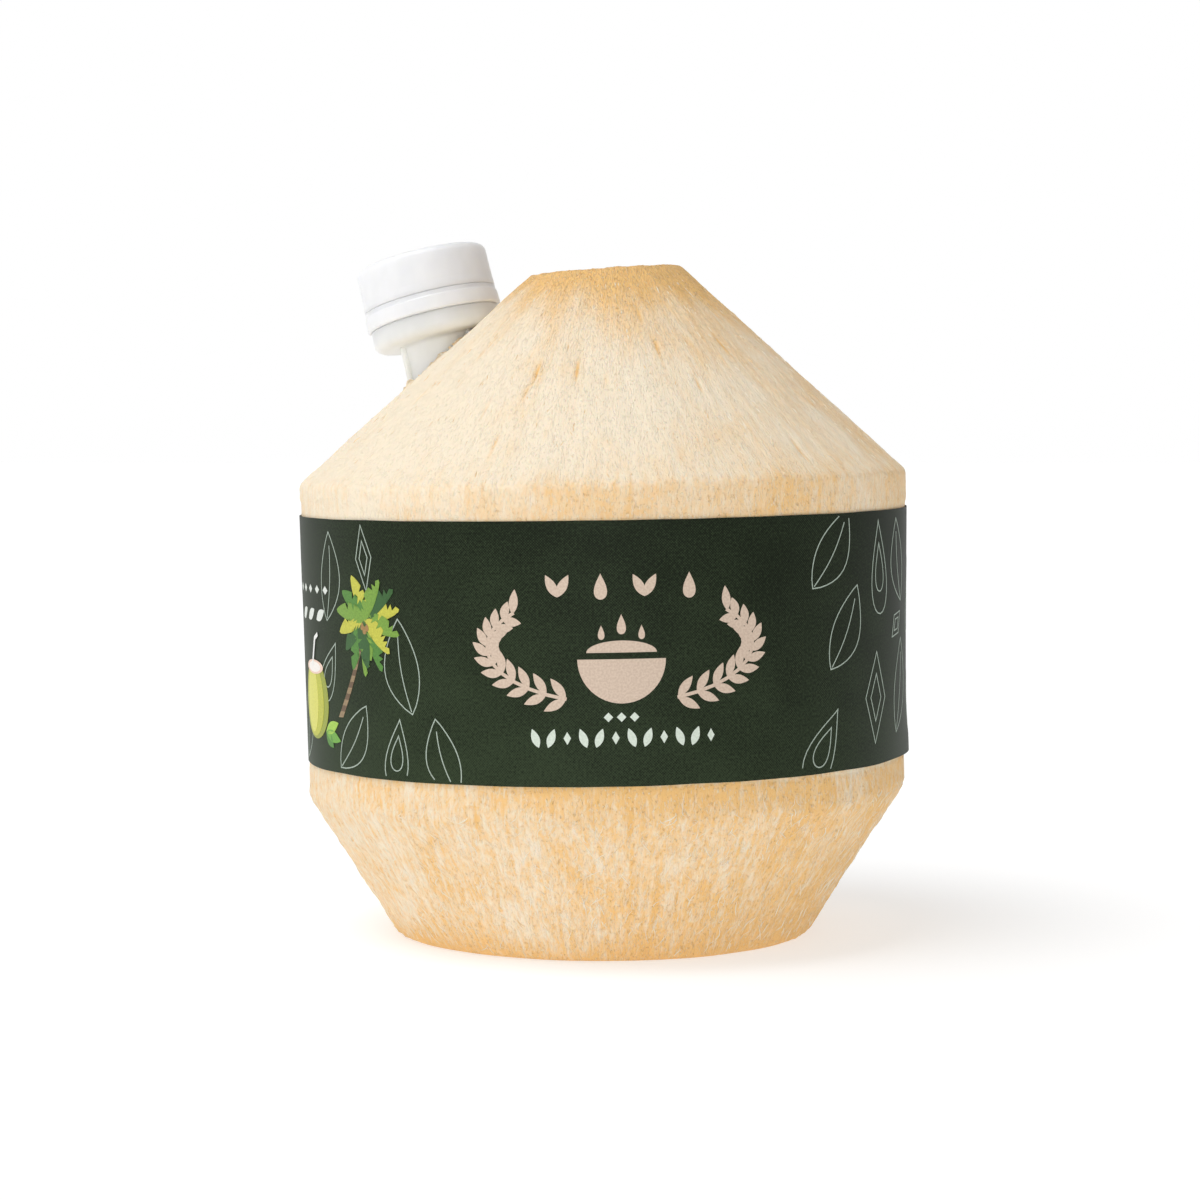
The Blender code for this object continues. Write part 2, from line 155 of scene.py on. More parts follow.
class LabelSettings(PropertyGroup):
    film_thickness: distance("Film thickness", "Thickness of the wrapped film", 0.00018)
    ink_thickness: distance("Ink thickness", "Thickness of one printed layer", 0.00003)
    line_width: distance("Line width", "Width of the outlined shapes' strokes", 0.00024)
    weave_pitch: distance("Weave pitch", "Spacing of the film's fine cross ribs", 0.00055)
    film: colour("Film", "Dark green ground", (0.0064, 0.0106, 0.0042))
    emblem: colour("Emblem", "Warm metallic ink of the emblem", (0.59, 0.45, 0.345))
    row: colour("Small marks", "Pale ink of the small rows", (0.60, 0.68, 0.58))
    line: colour("Lines", "Ink of the outlined shapes", (0.34, 0.41, 0.34))


class ClosureSettings(PropertyGroup):
    bridges: count("Bridges", "Broken bridges left on the tamper band", 10)
    white: colour("White", "Cap and tamper band", (0.95, 0.965, 0.985))
    clear: colour("Clear", "Milky plastic of the spout", (0.90, 0.92, 0.89))
    foam: colour("Foam", "Sealing disc", (0.80, 0.80, 0.77))


class StageSettings(PropertyGroup):
    floor: colour("Floor", "Floor", (0.55, 0.55, 0.55))
    floor_glow: amount("Floor glow", "Light that lifts the shadow", 0.55)
    sun: amount("Key light", "Strength of the soft light from the left", 1.55)
    fill: amount("Fill light", "Strength of the light from the front", 0.85)
    sun_size: turn("Key size", "Angle that the key light fills", 38)
    sky: amount("Sky", "Strength of the white surroundings", 0.66)
    dim: amount("Dim side", "Share of the sky that is missing on the right", 0.42)
    camera_place: FloatVectorProperty(
        name="Camera",
        description="Where the camera stands",
        default=(-0.0011, -0.687, 0.113),
        subtype="TRANSLATION",
    )
    camera_pitch: turn("Pitch", "How far the camera looks down", 3.45)
    camera_lens: amount("Lens", "Focal length", 95.0, unit="CAMERA")


# ---- Shader expressions --------------------------------------------------------------------------
class Value:
    """A socket that takes part in Python arithmetic; every operation adds a Math node."""

    def __init__(self, recipe, socket):
        self.recipe = recipe
        self.socket = socket

    def math(self, operation, *terms):
        return self.recipe.node("Math", {"operation": operation}, dict(enumerate(terms)))

    def __add__(self, other):
        return self.math("ADD", self, other)

    def __radd__(self, other):
        return self.math("ADD", other, self)

    def __sub__(self, other):
        return self.math("SUBTRACT", self, other)

    def __rsub__(self, other):
        return self.math("SUBTRACT", other, self)

    def __mul__(self, other):
        return self.math("MULTIPLY", self, other)

    def __rmul__(self, other):
        return self.math("MULTIPLY", other, self)


class Recipe:
    """The node tree of one material."""

    def __init__(self, name):
        self.material = bpy.data.materials.new(name)
        self.material.use_nodes = True
        self.tree = self.material.node_tree
        self.shader = self.tree.nodes["Principled BSDF"]

    def node(self, kind, settings=None, inputs=None, output=0):
        """Makes a node, sets it, then feeds its sockets with values or links; gives one of its outputs."""
        made = self.tree.nodes.new("ShaderNode" + kind)
        made.location = (-180 * (len(self.tree.nodes) % 12), -220 * (len(self.tree.nodes) // 12))
        for key, value in (settings or {}).items():
            setattr(made, key, value)
        for key, value in (inputs or {}).items():
            self.feed(made.inputs[key], value)
        return Value(self, made.outputs[output])

    def feed(self, socket, value):
        if isinstance(value, Value):
            self.tree.links.new(value.socket, socket)
        else:
            socket.default_value = value

    def finish(self, **inputs):
        """Feeds the shader; underscores in a name stand for spaces."""
        for key, value in inputs.items():
            self.feed(self.shader.inputs[key.replace("_", " ")], value)
        return self.material

    def attribute(self, name, output="Vector"):
        return self.node("Attribute", {"attribute_name": name}, output=output)

    def scaled(self, place, scale):
        return self.node("VectorMath", {"operation": "MULTIPLY"}, {0: place, 1: scale})

    def stretched(self, place, across, along):
        """A place divided by a feature's width across the grain and its length along it."""
        return self.scaled(place, (1 / across, 1 / across, 1 / along))

    def cloud(self, place, detail=2.0, roughness=0.5, distortion=0.0):
        inputs = {"Vector": place, "Scale": 1.0, "Detail": detail, "Roughness": roughness}
        return self.node("TexNoise", {}, {**inputs, "Distortion": distortion})

    def fade(self, value, low, high):
        """0 up to low, 1 from high on, and a smooth step between."""
        inputs = {"Value": value, "From Min": low, "From Max": high}
        return self.node("MapRange", {"interpolation_type": "SMOOTHSTEP"}, inputs)

    def mix(self, share, first, second, blend="MIX"):
        settings = {"data_type": "RGBA", "blend_type": blend, "clamp_factor": True}
        return self.node("Mix", settings, {0: share, 6: opaque(first), 7: opaque(second)}, output=2)

    def bump(self, height, depth, strength=1.0):
        inputs = {"Height": height, "Distance": depth, "Strength": strength}
        return self.node("Bump", {}, inputs, output="Normal")


def opaque(ink):
    return ink if isinstance(ink, Value) else (*ink, 1.0)


# (width across the grain, length along it) of the features that colour the husk
BLOTCH = (0.011, 0.016)
STREAK = (0.0010, 0.0075)
CURL = (0.0013, 0.0030)
FIBRE_END = (0.00032, 0.0011)
SPECK = (0.00045, 0.00075)
HUSK_BUMP = 0.00026
# (width, length) of the marks in moulded plastic
FLOW_MARK = (0.0060, 0.0120)
SCUFF = (0.0004, 0.0009)
# how many features lie in a metre along and up the film
FILM_GRAIN = (1900.0, 1900.0, 1.0)
FILM_CLOUD = (70.0, 90.0, 1.0)
PRINT_GRAIN = (2400.0, 2400.0, 1.0)
FOAM_CELLS = 2800.0  # for each metre


def husk_material(name, husk, across=False):
    """Fibrous husk, cream to tan by the painted tone, which also holds painted shade on its right side;
    shaved along its fibres or cut across them.
    """
    recipe = Recipe(name)
    grain = recipe.node("TexCoord", output="Object") if across else recipe.attribute("grain")
    tone = recipe.attribute("tone", "Fac")
    coarse = recipe.attribute("coarse", "Fac")
    blotch = recipe.cloud(recipe.stretched(grain, *BLOTCH), 3.0)
    streak = recipe.cloud(recipe.stretched(grain, *STREAK), 3.0, 0.6, 0.4)
    curl = recipe.cloud(recipe.stretched(grain, *CURL), 4.0, 0.65, 1.2)
    fibre = recipe.cloud(recipe.stretched(grain, *FIBRE_END), 2.0, 0.55)
    speck = recipe.cloud(recipe.stretched(grain, *SPECK), 2.0)
    wander = (
        (streak - 0.5) * (0.55 + coarse * 0.7)
        + (blotch - 0.5) * (0.9 - coarse * 0.25)
        + (curl - 0.5) * (0.2 + coarse * 1.2)
    )
    # browned is partly real browning and partly painted shade: the tone is raised on the right side, away
    # from the key light.
    browned = recipe.fade(tone + wander, 0.05, 1.05)
    skin = recipe.mix(browned, husk.flesh, husk.stain)
    dash = recipe.fade(fibre, 0.56, 0.66)
    skin = recipe.mix(dash * 0.45, skin, husk.fibre)
    pit = recipe.fade(speck, 0.60, 0.72) * recipe.fade(tone + wander, 0.10, 0.75)
    skin = recipe.mix(pit * 0.26, skin, husk.pore)
    waves = streak * (0.5 + coarse * 0.6) + curl * (0.15 + coarse * 0.9)
    height = waves + fibre * 0.4 + dash * 0.3 - pit * 0.5
    return recipe.finish(
        Base_Color=skin,
        Roughness=0.68 + fibre * 0.22,
        Normal=recipe.bump(height, HUSK_BUMP),
        Subsurface_Weight=0.10,
        Subsurface_Radius=(1.0, 0.55, 0.25),
        Subsurface_Scale=0.0010,
        Specular_IOR_Level=0.3,
    )


def sliver_material(name, husk):
    """Loose fibre: paler than the husk, each one a little different."""
    recipe = Recipe(name)
    grain = recipe.attribute("grain")
    shade = recipe.cloud(recipe.stretched(grain, 0.0030, 0.0060), 1.0)
    along = recipe.cloud(recipe.stretched(grain, 0.0002, 0.0012), 2.0)
    pale = recipe.mix(recipe.fade(shade, 0.30, 0.60), husk.stain, husk.fibre)
    return recipe.finish(
        Base_Color=recipe.mix(along * 0.5, pale, husk.flesh),
        Roughness=0.60 + along * 0.25,
        Normal=recipe.bump(along, 0.0001, 0.5),
        Subsurface_Weight=0.2,
        Subsurface_Radius=(1.0, 0.6, 0.3),
        Subsurface_Scale=0.001,
    )


def film_material(name, label):
    """Dark printed film: a faint woven rib, print grain, a satin gloss, painted light that makes it paler
    on its left, and a change that makes it paler towards its lower edge.
    """
    recipe = Recipe(name)
    place = recipe.attribute("film")
    turns = 2 * math.pi / label.weave_pitch
    axes = [recipe.node("SeparateXYZ", {}, {0: place}, output=k) for k in (0, 1)]
    ribs = [(axis * turns).math("SINE", axis * turns) for axis in axes]
    weave = (ribs[0] * ribs[1]) * 0.5 + 0.5
    grain = recipe.cloud(recipe.scaled(place, FILM_GRAIN), 2.0)
    cloud = recipe.cloud(recipe.scaled(place, FILM_CLOUD), 2.0)
    paler = tuple(4.2 * part + 0.007 for part in label.film)
    # Painted light: the sine of the angle makes the film paler on its left, towards the key light, and
    # darker on its right. The first term of drift makes it paler towards its lower edge and darker towards
    # its top.
    angle = axes[0] * (1 / LABEL_RADIUS)
    drift = (0.5 - axes[1] * (1 / LABEL_HEIGHT)) * 0.35 - angle.math("SINE", angle) * 0.12
    share = weave * 0.70 + (grain - 0.5) * 1.3 + (cloud - 0.5) * 0.55 + drift
    return recipe.finish(
        Base_Color=recipe.mix(recipe.fade(share, -0.1, 0.9), label.film, paler),
        Roughness=0.40 + grain * 0.12 + cloud * 0.05,
        Normal=recipe.bump(weave * 0.6 + grain * 0.4, 0.00004, 0.7),
        Specular_IOR_Level=0.10,
    )


def ink_material(name):
    """Printed ink in the colour of each shape, with a fine print grain."""
    recipe = Recipe(name)
    ink = recipe.attribute("ink", "Color")
    place = recipe.attribute("film")
    grain = recipe.cloud(recipe.scaled(place, PRINT_GRAIN), 2.0)
    lighter = recipe.mix(0.35, ink, (1.0, 1.0, 1.0), "SOFT_LIGHT")
    return recipe.finish(
        Base_Color=recipe.mix(recipe.fade(grain, 0.35, 0.65), ink, lighter),
        Roughness=0.42 + grain * 0.12,
        Normal=recipe.bump(grain, 0.00003, 0.4),
    )


def plastic_material(name, tint, roughness, cloudiness=0.8):
    """Moulded polyethylene: satin, slightly milky, with faint flow marks and scuffs."""
    recipe = Recipe(name)
    place = recipe.node("TexCoord", output="Object")
    flow = recipe.cloud(recipe.stretched(place, *FLOW_MARK), 2.0)
    scuff = recipe.cloud(recipe.stretched(place, *SCUFF), 3.0, 0.6)
    darker = tuple(part * 0.93 for part in tint)
    return recipe.finish(
        Base_Color=recipe.mix(recipe.fade(flow, 0.3, 0.7), darker, tint),
        Roughness=roughness + (scuff - 0.5) * 0.12,
        Normal=recipe.bump(scuff * 0.5 + flow, 0.00005, 0.35),
        Subsurface_Weight=cloudiness,
        Subsurface_Radius=(1.0, 1.0, 0.9),
        Subsurface_Scale=0.0025,
    )


def foam_material(name, tint):
    """Closed-cell foam: tiny cells seen as dots and dents."""
    recipe = Recipe(name)
    place = recipe.node("TexCoord", output="Object")
    inputs = {"Vector": place, "Scale": FOAM_CELLS}
    cells = recipe.node("TexVoronoi", {"feature": "F1"}, inputs, output="Distance")
    darker = tuple(part * 0.86 for part in tint)
    return recipe.finish(
        Base_Color=recipe.mix(recipe.fade(cells, 0.1, 0.5), darker, tint),
        Roughness=0.62 + cells * 0.2,
        Normal=recipe.bump(cells, 0.0001, 0.6),
    )


# ---- Mesh helpers --------------------------------------------------------------------------------
MOULDED = math.radians(35)  # moulded and turned pieces are smooth across edges below this angle


def new_piece(name, points, faces, material, smooth_below=None):
    mesh = bpy.data.meshes.new(name)
    mesh.from_pydata([tuple(p) for p in points], [], faces)
    mesh.validate()
    piece = bpy.data.objects.new(name, mesh)
    bpy.context.scene.collection.objects.link(piece)
    mesh.materials.append(material)
    return smoothed(piece, smooth_below) if smooth_below else piece


def smoothed(piece, below):
    """Smooth shading, but for edges where faces meet at more than the given angle."""
    piece.data.shade_smooth()
    piece.data.set_sharp_from_angle(angle=below)
    return piece


def settle(piece):
    """Replaces the piece's mesh by what its modifiers make of it."""
    graph = bpy.context.evaluated_depsgraph_get()
    done = bpy.data.meshes.new_from_object(piece.evaluated_get(graph))
    piece.modifiers.clear()
    old = piece.data
    done.name = piece.name
    piece.data = done
    bpy.data.meshes.remove(old)
    return piece


def combine(piece, tool, operation):
    """One Boolean, applied at once; the tool is removed."""
    step = piece.modifiers.new(operation.lower(), "BOOLEAN")
    step.operation = operation
    step.solver = "EXACT"
    step.object = tool
    bpy.context.view_layer.update()
    settle(piece)
    bpy.data.objects.remove(tool, do_unlink=True)
    return piece


def rounded(before, corner, after, radius, segments):
    """Points of an arc that rounds a corner of a profile, tangent to both of its sides."""
    corner = Vector(corner)
    one = (Vector(before) - corner).normalized()
    two = (Vector(after) - corner).normalized()
    half = one.angle(two) / 2
    centre = corner + (one + two).normalized() * (radius / math.sin(half))
    start = corner + one * (radius / math.tan(half)) - centre
    end = corner + two * (radius / math.tan(half)) - centre
    return [centre + start.slerp(end, k / segments).normalized() * radius for k in range(segments + 1)]


def eased(profile, closed=True, segments=4):
    """A profile of (radius, height, rounding) points with its corners rounded."""
    count = len(profile)
    points = []
    for k, (across, up, rounding) in enumerate(profile):
        inside = closed or 0 < k < count - 1
        if rounding and inside:
            before = profile[k - 1][:2]
            after = profile[(k + 1) % count][:2]
            points += [tuple(p) for p in rounded(before, (across, up), after, rounding, segments)]
        else:
            points.append((across, up))
    return points


def turned(name, profile, matrix, material, closed=True, steps=TURNED_STEPS):
    """A profile turned about the matrix's Z axis; an open profile starts and ends on the axis."""
    points, rings = [], []
    for across, up in profile:
        if across < 1e-7:
            rings.append([len(points)] * steps)
            points.append(Vector((0, 0, up)))
            continue
        rings.append([len(points) + k for k in range(steps)])
        for k in range(steps):
            angle = 2 * math.pi * k / steps
            points.append(Vector((across * math.cos(angle), across * math.sin(angle), up)))
    faces = []
    for one, two in zip(rings, rings[1:] + rings[:1] if closed else rings[1:]):
        for k in range(steps):
            ahead = (k + 1) % steps
            corners = [one[k], two[k], two[ahead], one[ahead]]
            faces.append(tuple(dict.fromkeys(corners)))
    return new_piece(name, [matrix @ p for p in points], faces, material, MOULDED)


def helix_ridge(radius, first_turn, offset, matrix, material):
    """A rounded right-hand ridge along a helix whose two ends fade out."""
    per_turn, sides, fade = 72, 10, 10
    count = round(THREAD_TURNS * per_turn) + 1
    points, faces = [], []
    for k in range(count):
        turns = first_turn + k / per_turn
        angle = 2 * math.pi * turns
        outward = Vector((math.cos(angle), math.sin(angle), 0))
        centre = outward * radius + Vector((0, 0, THREAD_START + offset + THREAD_PITCH * turns))
        size = THREAD_RIDGE * min(1.0, 0.4 + 0.6 * min(k, count - 1 - k) / fade)
        for side in range(sides):
            around = 2 * math.pi * side / sides
            bulge = outward * (size * math.cos(around)) + Vector((0, 0, size * math.sin(around)))
            points.append(matrix @ (centre + bulge))
        if k:
            start = (k - 1) * sides
            for side in range(sides):
                ahead = (side + 1) % sides
                faces.append((start + side, start + ahead, start + sides + ahead, start + sides + side))
    faces.append(tuple(reversed(range(sides))))
    faces.append(tuple((count - 1) * sides + side for side in range(sides)))
    ridge = new_piece("ridge", points, faces, material)
    shape = bmesh.new()
    shape.from_mesh(ridge.data)
    bmesh.ops.recalc_face_normals(shape, faces=shape.faces)
    shape.to_mesh(ridge.data)
    shape.free()
    return ridge


def waist_frame():
    """The waist's own axis, leaning about its middle."""
    pivot = Vector((0, 0, WAIST_MIDDLE))
    return Matrix.Translation(pivot) @ Matrix.Rotation(-WAIST_LEAN, 4, "Y") @ Matrix.Translation(-pivot)


def spout_frame():
    """Origin at the tamper band's lower edge, Z up the neck, X down the slope of the cone."""
    outward = Vector((math.cos(SPOUT_AZIMUTH), math.sin(SPOUT_AZIMUTH), 0.0))
    start, gain = upper_side()
    entry = outward * SPOUT_ENTRY_RADIUS + Vector((UPPER_SHIFT, 0, (SPOUT_ENTRY_RADIUS - start) / gain))
    along = outward * math.sin(SPOUT_LEAN) + Vector((0, 0, math.cos(SPOUT_LEAN)))
    turn = Matrix.Rotation(SPOUT_AZIMUTH, 4, "Z") @ Matrix.Rotation(SPOUT_LEAN, 4, "Y")
    return Matrix.Translation(entry + along * SPOUT_STANDOFF) @ turn


# ---- Husk ----------------------------------------------------------------------------------------
GRAIN_RADIUS = 0.05  # one radius for the whole grain, so that the fibres close up towards the top
WAIST_SHARES = (
    [k * 0.0115 for k in range(1, 9)]
    + [0.115 + k * 0.062 for k in range(12)]
    + [0.856 + k * 0.0115 for k in range(8)]
)
RUNS = (
    [k / 12 for k in range(1, 12)],
    [k / 84 for k in range(1, 84)],
    WAIST_SHARES,
    [k / 44 for k in range(1, 44)],
    [k / 10 for k in range(1, 10)],
)
ROUNDINGS = ((0.0016, 4), (0.0020, 4), (0.0050, 6), (0.0030, 4))  # (radius, segments) from the top down
FOOT = 0.0004  # below this height the husk lies on what carries it, so it keeps its smooth form
CUT_EDGE = 0.0006  # how far inside its edge a flat cut is flat
TEAR_WIDTH = 0.00036
WELL_GAP = 0.0003  # round the collar and the tamper band
STEM_GAP = 0.00015
WELL_SPARE = 0.001  # below the stem's end
WELL_OPEN = 0.02  # the cutter ends above the cone
# (angle from the front in degrees, height, length, depth) of the deeper torn grooves
MARKED_TEARS = (
    (-20.4, 0.1200, 0.0042, 0.00035),
    (-8.4, 0.1205, 0.0046, 0.00035),
    (17.5, 0.1255, 0.0030, 0.00030),
    (25.6, 0.1180, 0.0034, 0.00030),
    (-44.0, 0.1105, 0.0036, 0.00020),
    (4.5, 0.0300, 0.0050, 0.00040),
    (-24.0, 0.0310, 0.0050, 0.00030),
    (11.0, 0.0120, 0.0075, 0.00040),
)


def line_through(low, high):
    """A side of the husk as (radius at height 0, radius gained for each metre of height)."""
    gain = (high[0] - low[0]) / (high[1] - low[1])
    return low[0] - gain * low[1], gain


def upper_side(cosine=0.0):
    """The upper cone's side where the angle about the Z axis has this cosine."""
    start, gain = line_through((SHOULDER_RADIUS, SHOULDER_HEIGHT), (TOP_RADIUS, HUSK_HEIGHT))
    return start + UPPER_SHIFT * cosine, gain


def waist_side(cosine=0.0):
    narrow = (WAIST_RADIUS - WAIST_FLARE / 2, LOWER_EDGE_HEIGHT)
    wide = (WAIST_RADIUS + WAIST_FLARE / 2, SHOULDER_HEIGHT)
    start, gain = line_through(narrow, wide)
    drift = math.tan(WAIST_LEAN) * cosine
    return start + drift * WAIST_MIDDLE, gain - drift


def lower_side(cosine=0.0):
    start, gain = line_through((BASE_RADIUS, 0.0), (LOWER_EDGE_RADIUS, LOWER_EDGE_HEIGHT))
    return start + LOWER_SHIFT * cosine, gain


def meeting(one, two):
    """Point of (radius, height) where two sides of the husk cross."""
    height = (two[0] - one[0]) / (one[1] - two[1])
    return one[0] + one[1] * height, height


def waist_radius(height):
    start, gain = waist_side()
    return start + gain * height


def wavering(angle, size, seed):
    """A gentle wave round the fruit, from -1 to 1 or so."""
    return noise.noise(Vector((size * math.cos(angle), size * math.sin(angle), seed)))


def husk_corners(angle):
    """(radius, height) of the top edge, shoulder, lower edge and base edge at one angle."""
    cosine = math.cos(angle)
    upper, waist, lower = upper_side(cosine), waist_side(cosine), lower_side(cosine)
    rise = math.tan(TOP_SLANT) * cosine
    top_height = (HUSK_HEIGHT + rise * upper[0]) / (1 - rise * upper[1])
    top_wave = 0.0003 * wavering(angle, 2.2, 3.0) + 0.0001 * wavering(angle, 14.0, 4.0)
    shoulder, lower_edge = meeting(upper, waist), meeting(waist, lower)
    shoulder_wave = 0.0005 * wavering(angle, 3.4, 7.0) + 0.0003 * wavering(angle, 11.0, 9.0)
    return (
        (upper[0] + upper[1] * top_height + top_wave, top_height),
        (shoulder[0], shoulder[1] + shoulder_wave),
        (lower_edge[0], lower_edge[1] + 0.0007 * wavering(angle, 3.0, 11.0)),
        (lower[0] + 0.0005 * wavering(angle, 3.0, 5.0), 0.0),
    )


COLUMN_CORNERS = [husk_corners(2 * math.pi * k / HUSK_COLUMNS) for k in range(HUSK_COLUMNS)]


def corners_at(angle):
    return COLUMN_CORNERS[round(angle / (2 * math.pi) * HUSK_COLUMNS) % HUSK_COLUMNS]


def husk_outline(corners):
    """(radius, height) points at one angle, from beside the middle of the top cut to beside the base's."""
    corners = [(0.0, HUSK_HEIGHT), *corners, (0.0, 0.0)]
    outline = []
    start = Vector(corners[0])
    for k, (rounding, segments) in enumerate(ROUNDINGS):
        arc = rounded(*corners[k : k + 3], rounding, segments)
        outline += [start.lerp(arc[0], share) for share in RUNS[k]]
        outline += arc
        start = arc[-1]
    outline += [start.lerp(Vector(corners[-1]), share) for share in RUNS[-1]]
    return [tuple(p) for p in outline]


def side_distance(radius, height, corners):
    """Distance down the outline from the shoulder, negative above it."""
    top, shoulder, lower_edge, base = corners
    if height > shoulder[1]:
        share = (height - shoulder[1]) / (top[1] - shoulder[1])
        side = shoulder[0] + (top[0] - shoulder[0]) * share
        inwards = max(0.0, side - radius) if height > top[1] - 0.003 else 0.0
        return -share * math.dist(top, shoulder) - inwards
    if height > lower_edge[1]:
        return shoulder[1] - height
    share = 1 - height / lower_edge[1]
    side = lower_edge[0] + (base[0] - lower_edge[0]) * share
    inwards = max(0.0, side - radius) if height < 0.003 else 0.0
    return shoulder[1] - lower_edge[1] + share * math.dist(lower_edge, base) + inwards


def relief(angle, radius, height, husk):
    """How far the shaved surface stands off its smooth form."""
    corners = corners_at(angle)
    if LABEL_BOTTOM - 0.002 < height < LABEL_TOP + 0.002:
        return -0.00012
    down = side_distance(radius, height, corners)
    here = Vector((GRAIN_RADIUS * math.cos(angle), GRAIN_RADIUS * math.sin(angle), down))
    wide = noise.noise(here / 0.013) * husk.relief
    ridges = noise.noise(Vector((here.x / 0.0014, here.y / 0.0014, down / 0.0065))) * husk.strokes
    ridges *= min(1.0, radius / GRAIN_RADIUS)
    grit = noise.noise(here / 0.0011) * 0.00009
    if radius < corners[0][0] - 0.001 and height > corners[1][1]:
        flat = Vector((radius * math.cos(angle), radius * math.sin(angle), 0))
        return noise.noise(flat / 0.0035) * 0.00030 + noise.noise(flat / 0.0011) * 0.00026
    if height < corners[2][1] + 0.009:
        curls = noise.noise(Vector((here.x / 0.0017, here.y / 0.0017, down / 0.0034))) * 0.00030
        lift = wide * 0.9 + ridges * 1.4 + curls + grit
        return max(lift, 0.0) if height < FOOT else lift
    if height < corners[1][1] + 0.004:
        pocks = noise.noise(here / 0.0019) * 0.00022
        return wide * 0.4 + ridges * 0.5 + pocks + grit
    return wide + ridges + grit


def torn_grooves(husk):
    """(angle, height, length, depth) of every torn groove, the marked ones first."""
    grooves = [(math.radians(front - 90), *sizes) for front, *sizes in MARKED_TEARS]
    draw = random.Random(11)
    for _ in range(husk.tears):
        angle = draw.uniform(0, 2 * math.pi)
        if draw.random() < 0.5:
            height = SHOULDER_HEIGHT + 0.005 + draw.random() ** 1.5 * 0.034
        else:
            height = draw.uniform(0.003, LABEL_BOTTOM - 0.003)
        grooves.append((angle, height, draw.uniform(0.0015, 0.0045), draw.uniform(0.00010, 0.00028)))
    return grooves


class Skin:
    """The husk's outer surface as a grid: rows run down the fruit and columns run round it."""

    def __init__(self, husk):
        outlines = [husk_outline(corners) for corners in COLUMN_CORNERS]
        flat = np.array(outlines).transpose(1, 0, 2)  # row, column, (radius, height)
        along = np.gradient(flat, axis=0)
        along /= np.linalg.norm(along, axis=2, keepdims=True)
        angles = 2 * np.pi * np.arange(HUSK_COLUMNS) / HUSK_COLUMNS
        cosine, sine = np.cos(angles), np.sin(angles)
        out, up = -along[..., 1], along[..., 0]
        self.normals = np.stack([out * cosine, out * sine, up], axis=2)
        self.points = np.stack([flat[..., 0] * cosine, flat[..., 0] * sine, flat[..., 1]], axis=2)
        lift = np.array([[relief(turn, *place, husk) for turn, place in zip(angles, row)] for row in flat])
        lift[flat[..., 1] < FOOT] = 0.0
        for angle, height, length, depth in torn_grooves(husk):
            around = (angles - angle + np.pi) % (2 * np.pi) - np.pi
            sideways = flat[..., 0] * around / TEAR_WIDTH
            lengthways = (flat[..., 1] - height) / (0.5 * length)
            bare = (flat[..., 1] < LABEL_BOTTOM) | (flat[..., 1] > LABEL_TOP)
            lift -= depth * np.exp(-(sideways**2) - lengthways**2) * bare
        self.points += self.normals * lift[..., None]

    def at(self, row, column):
        """Point and outward normal between the grid's own points."""
        low = int(min(max(row, 0), len(self.points) - 2))
        left = int(math.floor(column)) % HUSK_COLUMNS
        right = (left + 1) % HUSK_COLUMNS
        down, aside = row - low, column - math.floor(column)

        def between(grid):
            top = grid[low, left] * (1 - aside) + grid[low, right] * aside
            bottom = grid[low + 1, left] * (1 - aside) + grid[low + 1, right] * aside
            return Vector(top * (1 - down) + bottom * down)

        return between(self.points), between(self.normals).normalized()


def raise_lip(skin, husk, to_spout):
    """Pushes up a torn lip of husk round the hole for the spout."""
    for row, column in np.ndindex(skin.points.shape[:2]):
        point = skin.points[row, column]
        if point[2] < SHOULDER_HEIGHT + 0.004 or point[0] > 0:
            continue
        local = to_spout @ Vector(point)
        away = math.hypot(local.x, local.y)
        if away > 0.018 or local.z > 0.004:
            continue
        turn = math.atan2(local.y, local.x)
        ragged = 0.80 + 0.9 * noise.noise(Vector((3.1 * math.cos(turn), 3.1 * math.sin(turn), away * 300)))
        ragged += 0.6 * noise.noise(Vector((9 * math.cos(turn), 9 * math.sin(turn), away * 700)))
        height = husk.lip * max(0.0, ragged) * math.exp(-(((away - 0.0096) / 0.0019) ** 2))
        skin.points[row, column] += skin.normals[row, column] * height


def paint_husk(mesh):
    """Stores grain, tone and coarseness at every point, from where it lies on the fruit."""
    to_spout = spout_frame().inverted()
    tears = torn_grooves(bpy.context.scene.coconut_husk)
    grains, tones, coarseness = [], [], []
    for vertex in mesh.vertices:
        x, y, height = vertex.co
        angle, radius = math.atan2(y, x), math.hypot(x, y)
        corners = corners_at(angle)
        down = side_distance(radius, height, corners)
        grains += (GRAIN_RADIUS * math.cos(angle), GRAIN_RADIUS * math.sin(angle), down)
        tones.append(husk_tone(angle, radius, height, down, corners, tears, to_spout @ vertex.co))
        above = max(0.0, height - corners[1][1])
        coarseness.append(1.0 if height < LABEL_BOTTOM else 0.45 * max(0.0, 1 - above / 0.004))
    mesh.attributes.new("grain", "FLOAT_VECTOR", "POINT").data.foreach_set("vector", grains)
    mesh.attributes.new("tone", "FLOAT", "POINT").data.foreach_set("value", tones)
    mesh.attributes.new("coarse", "FLOAT", "POINT").data.foreach_set("value", coarseness)


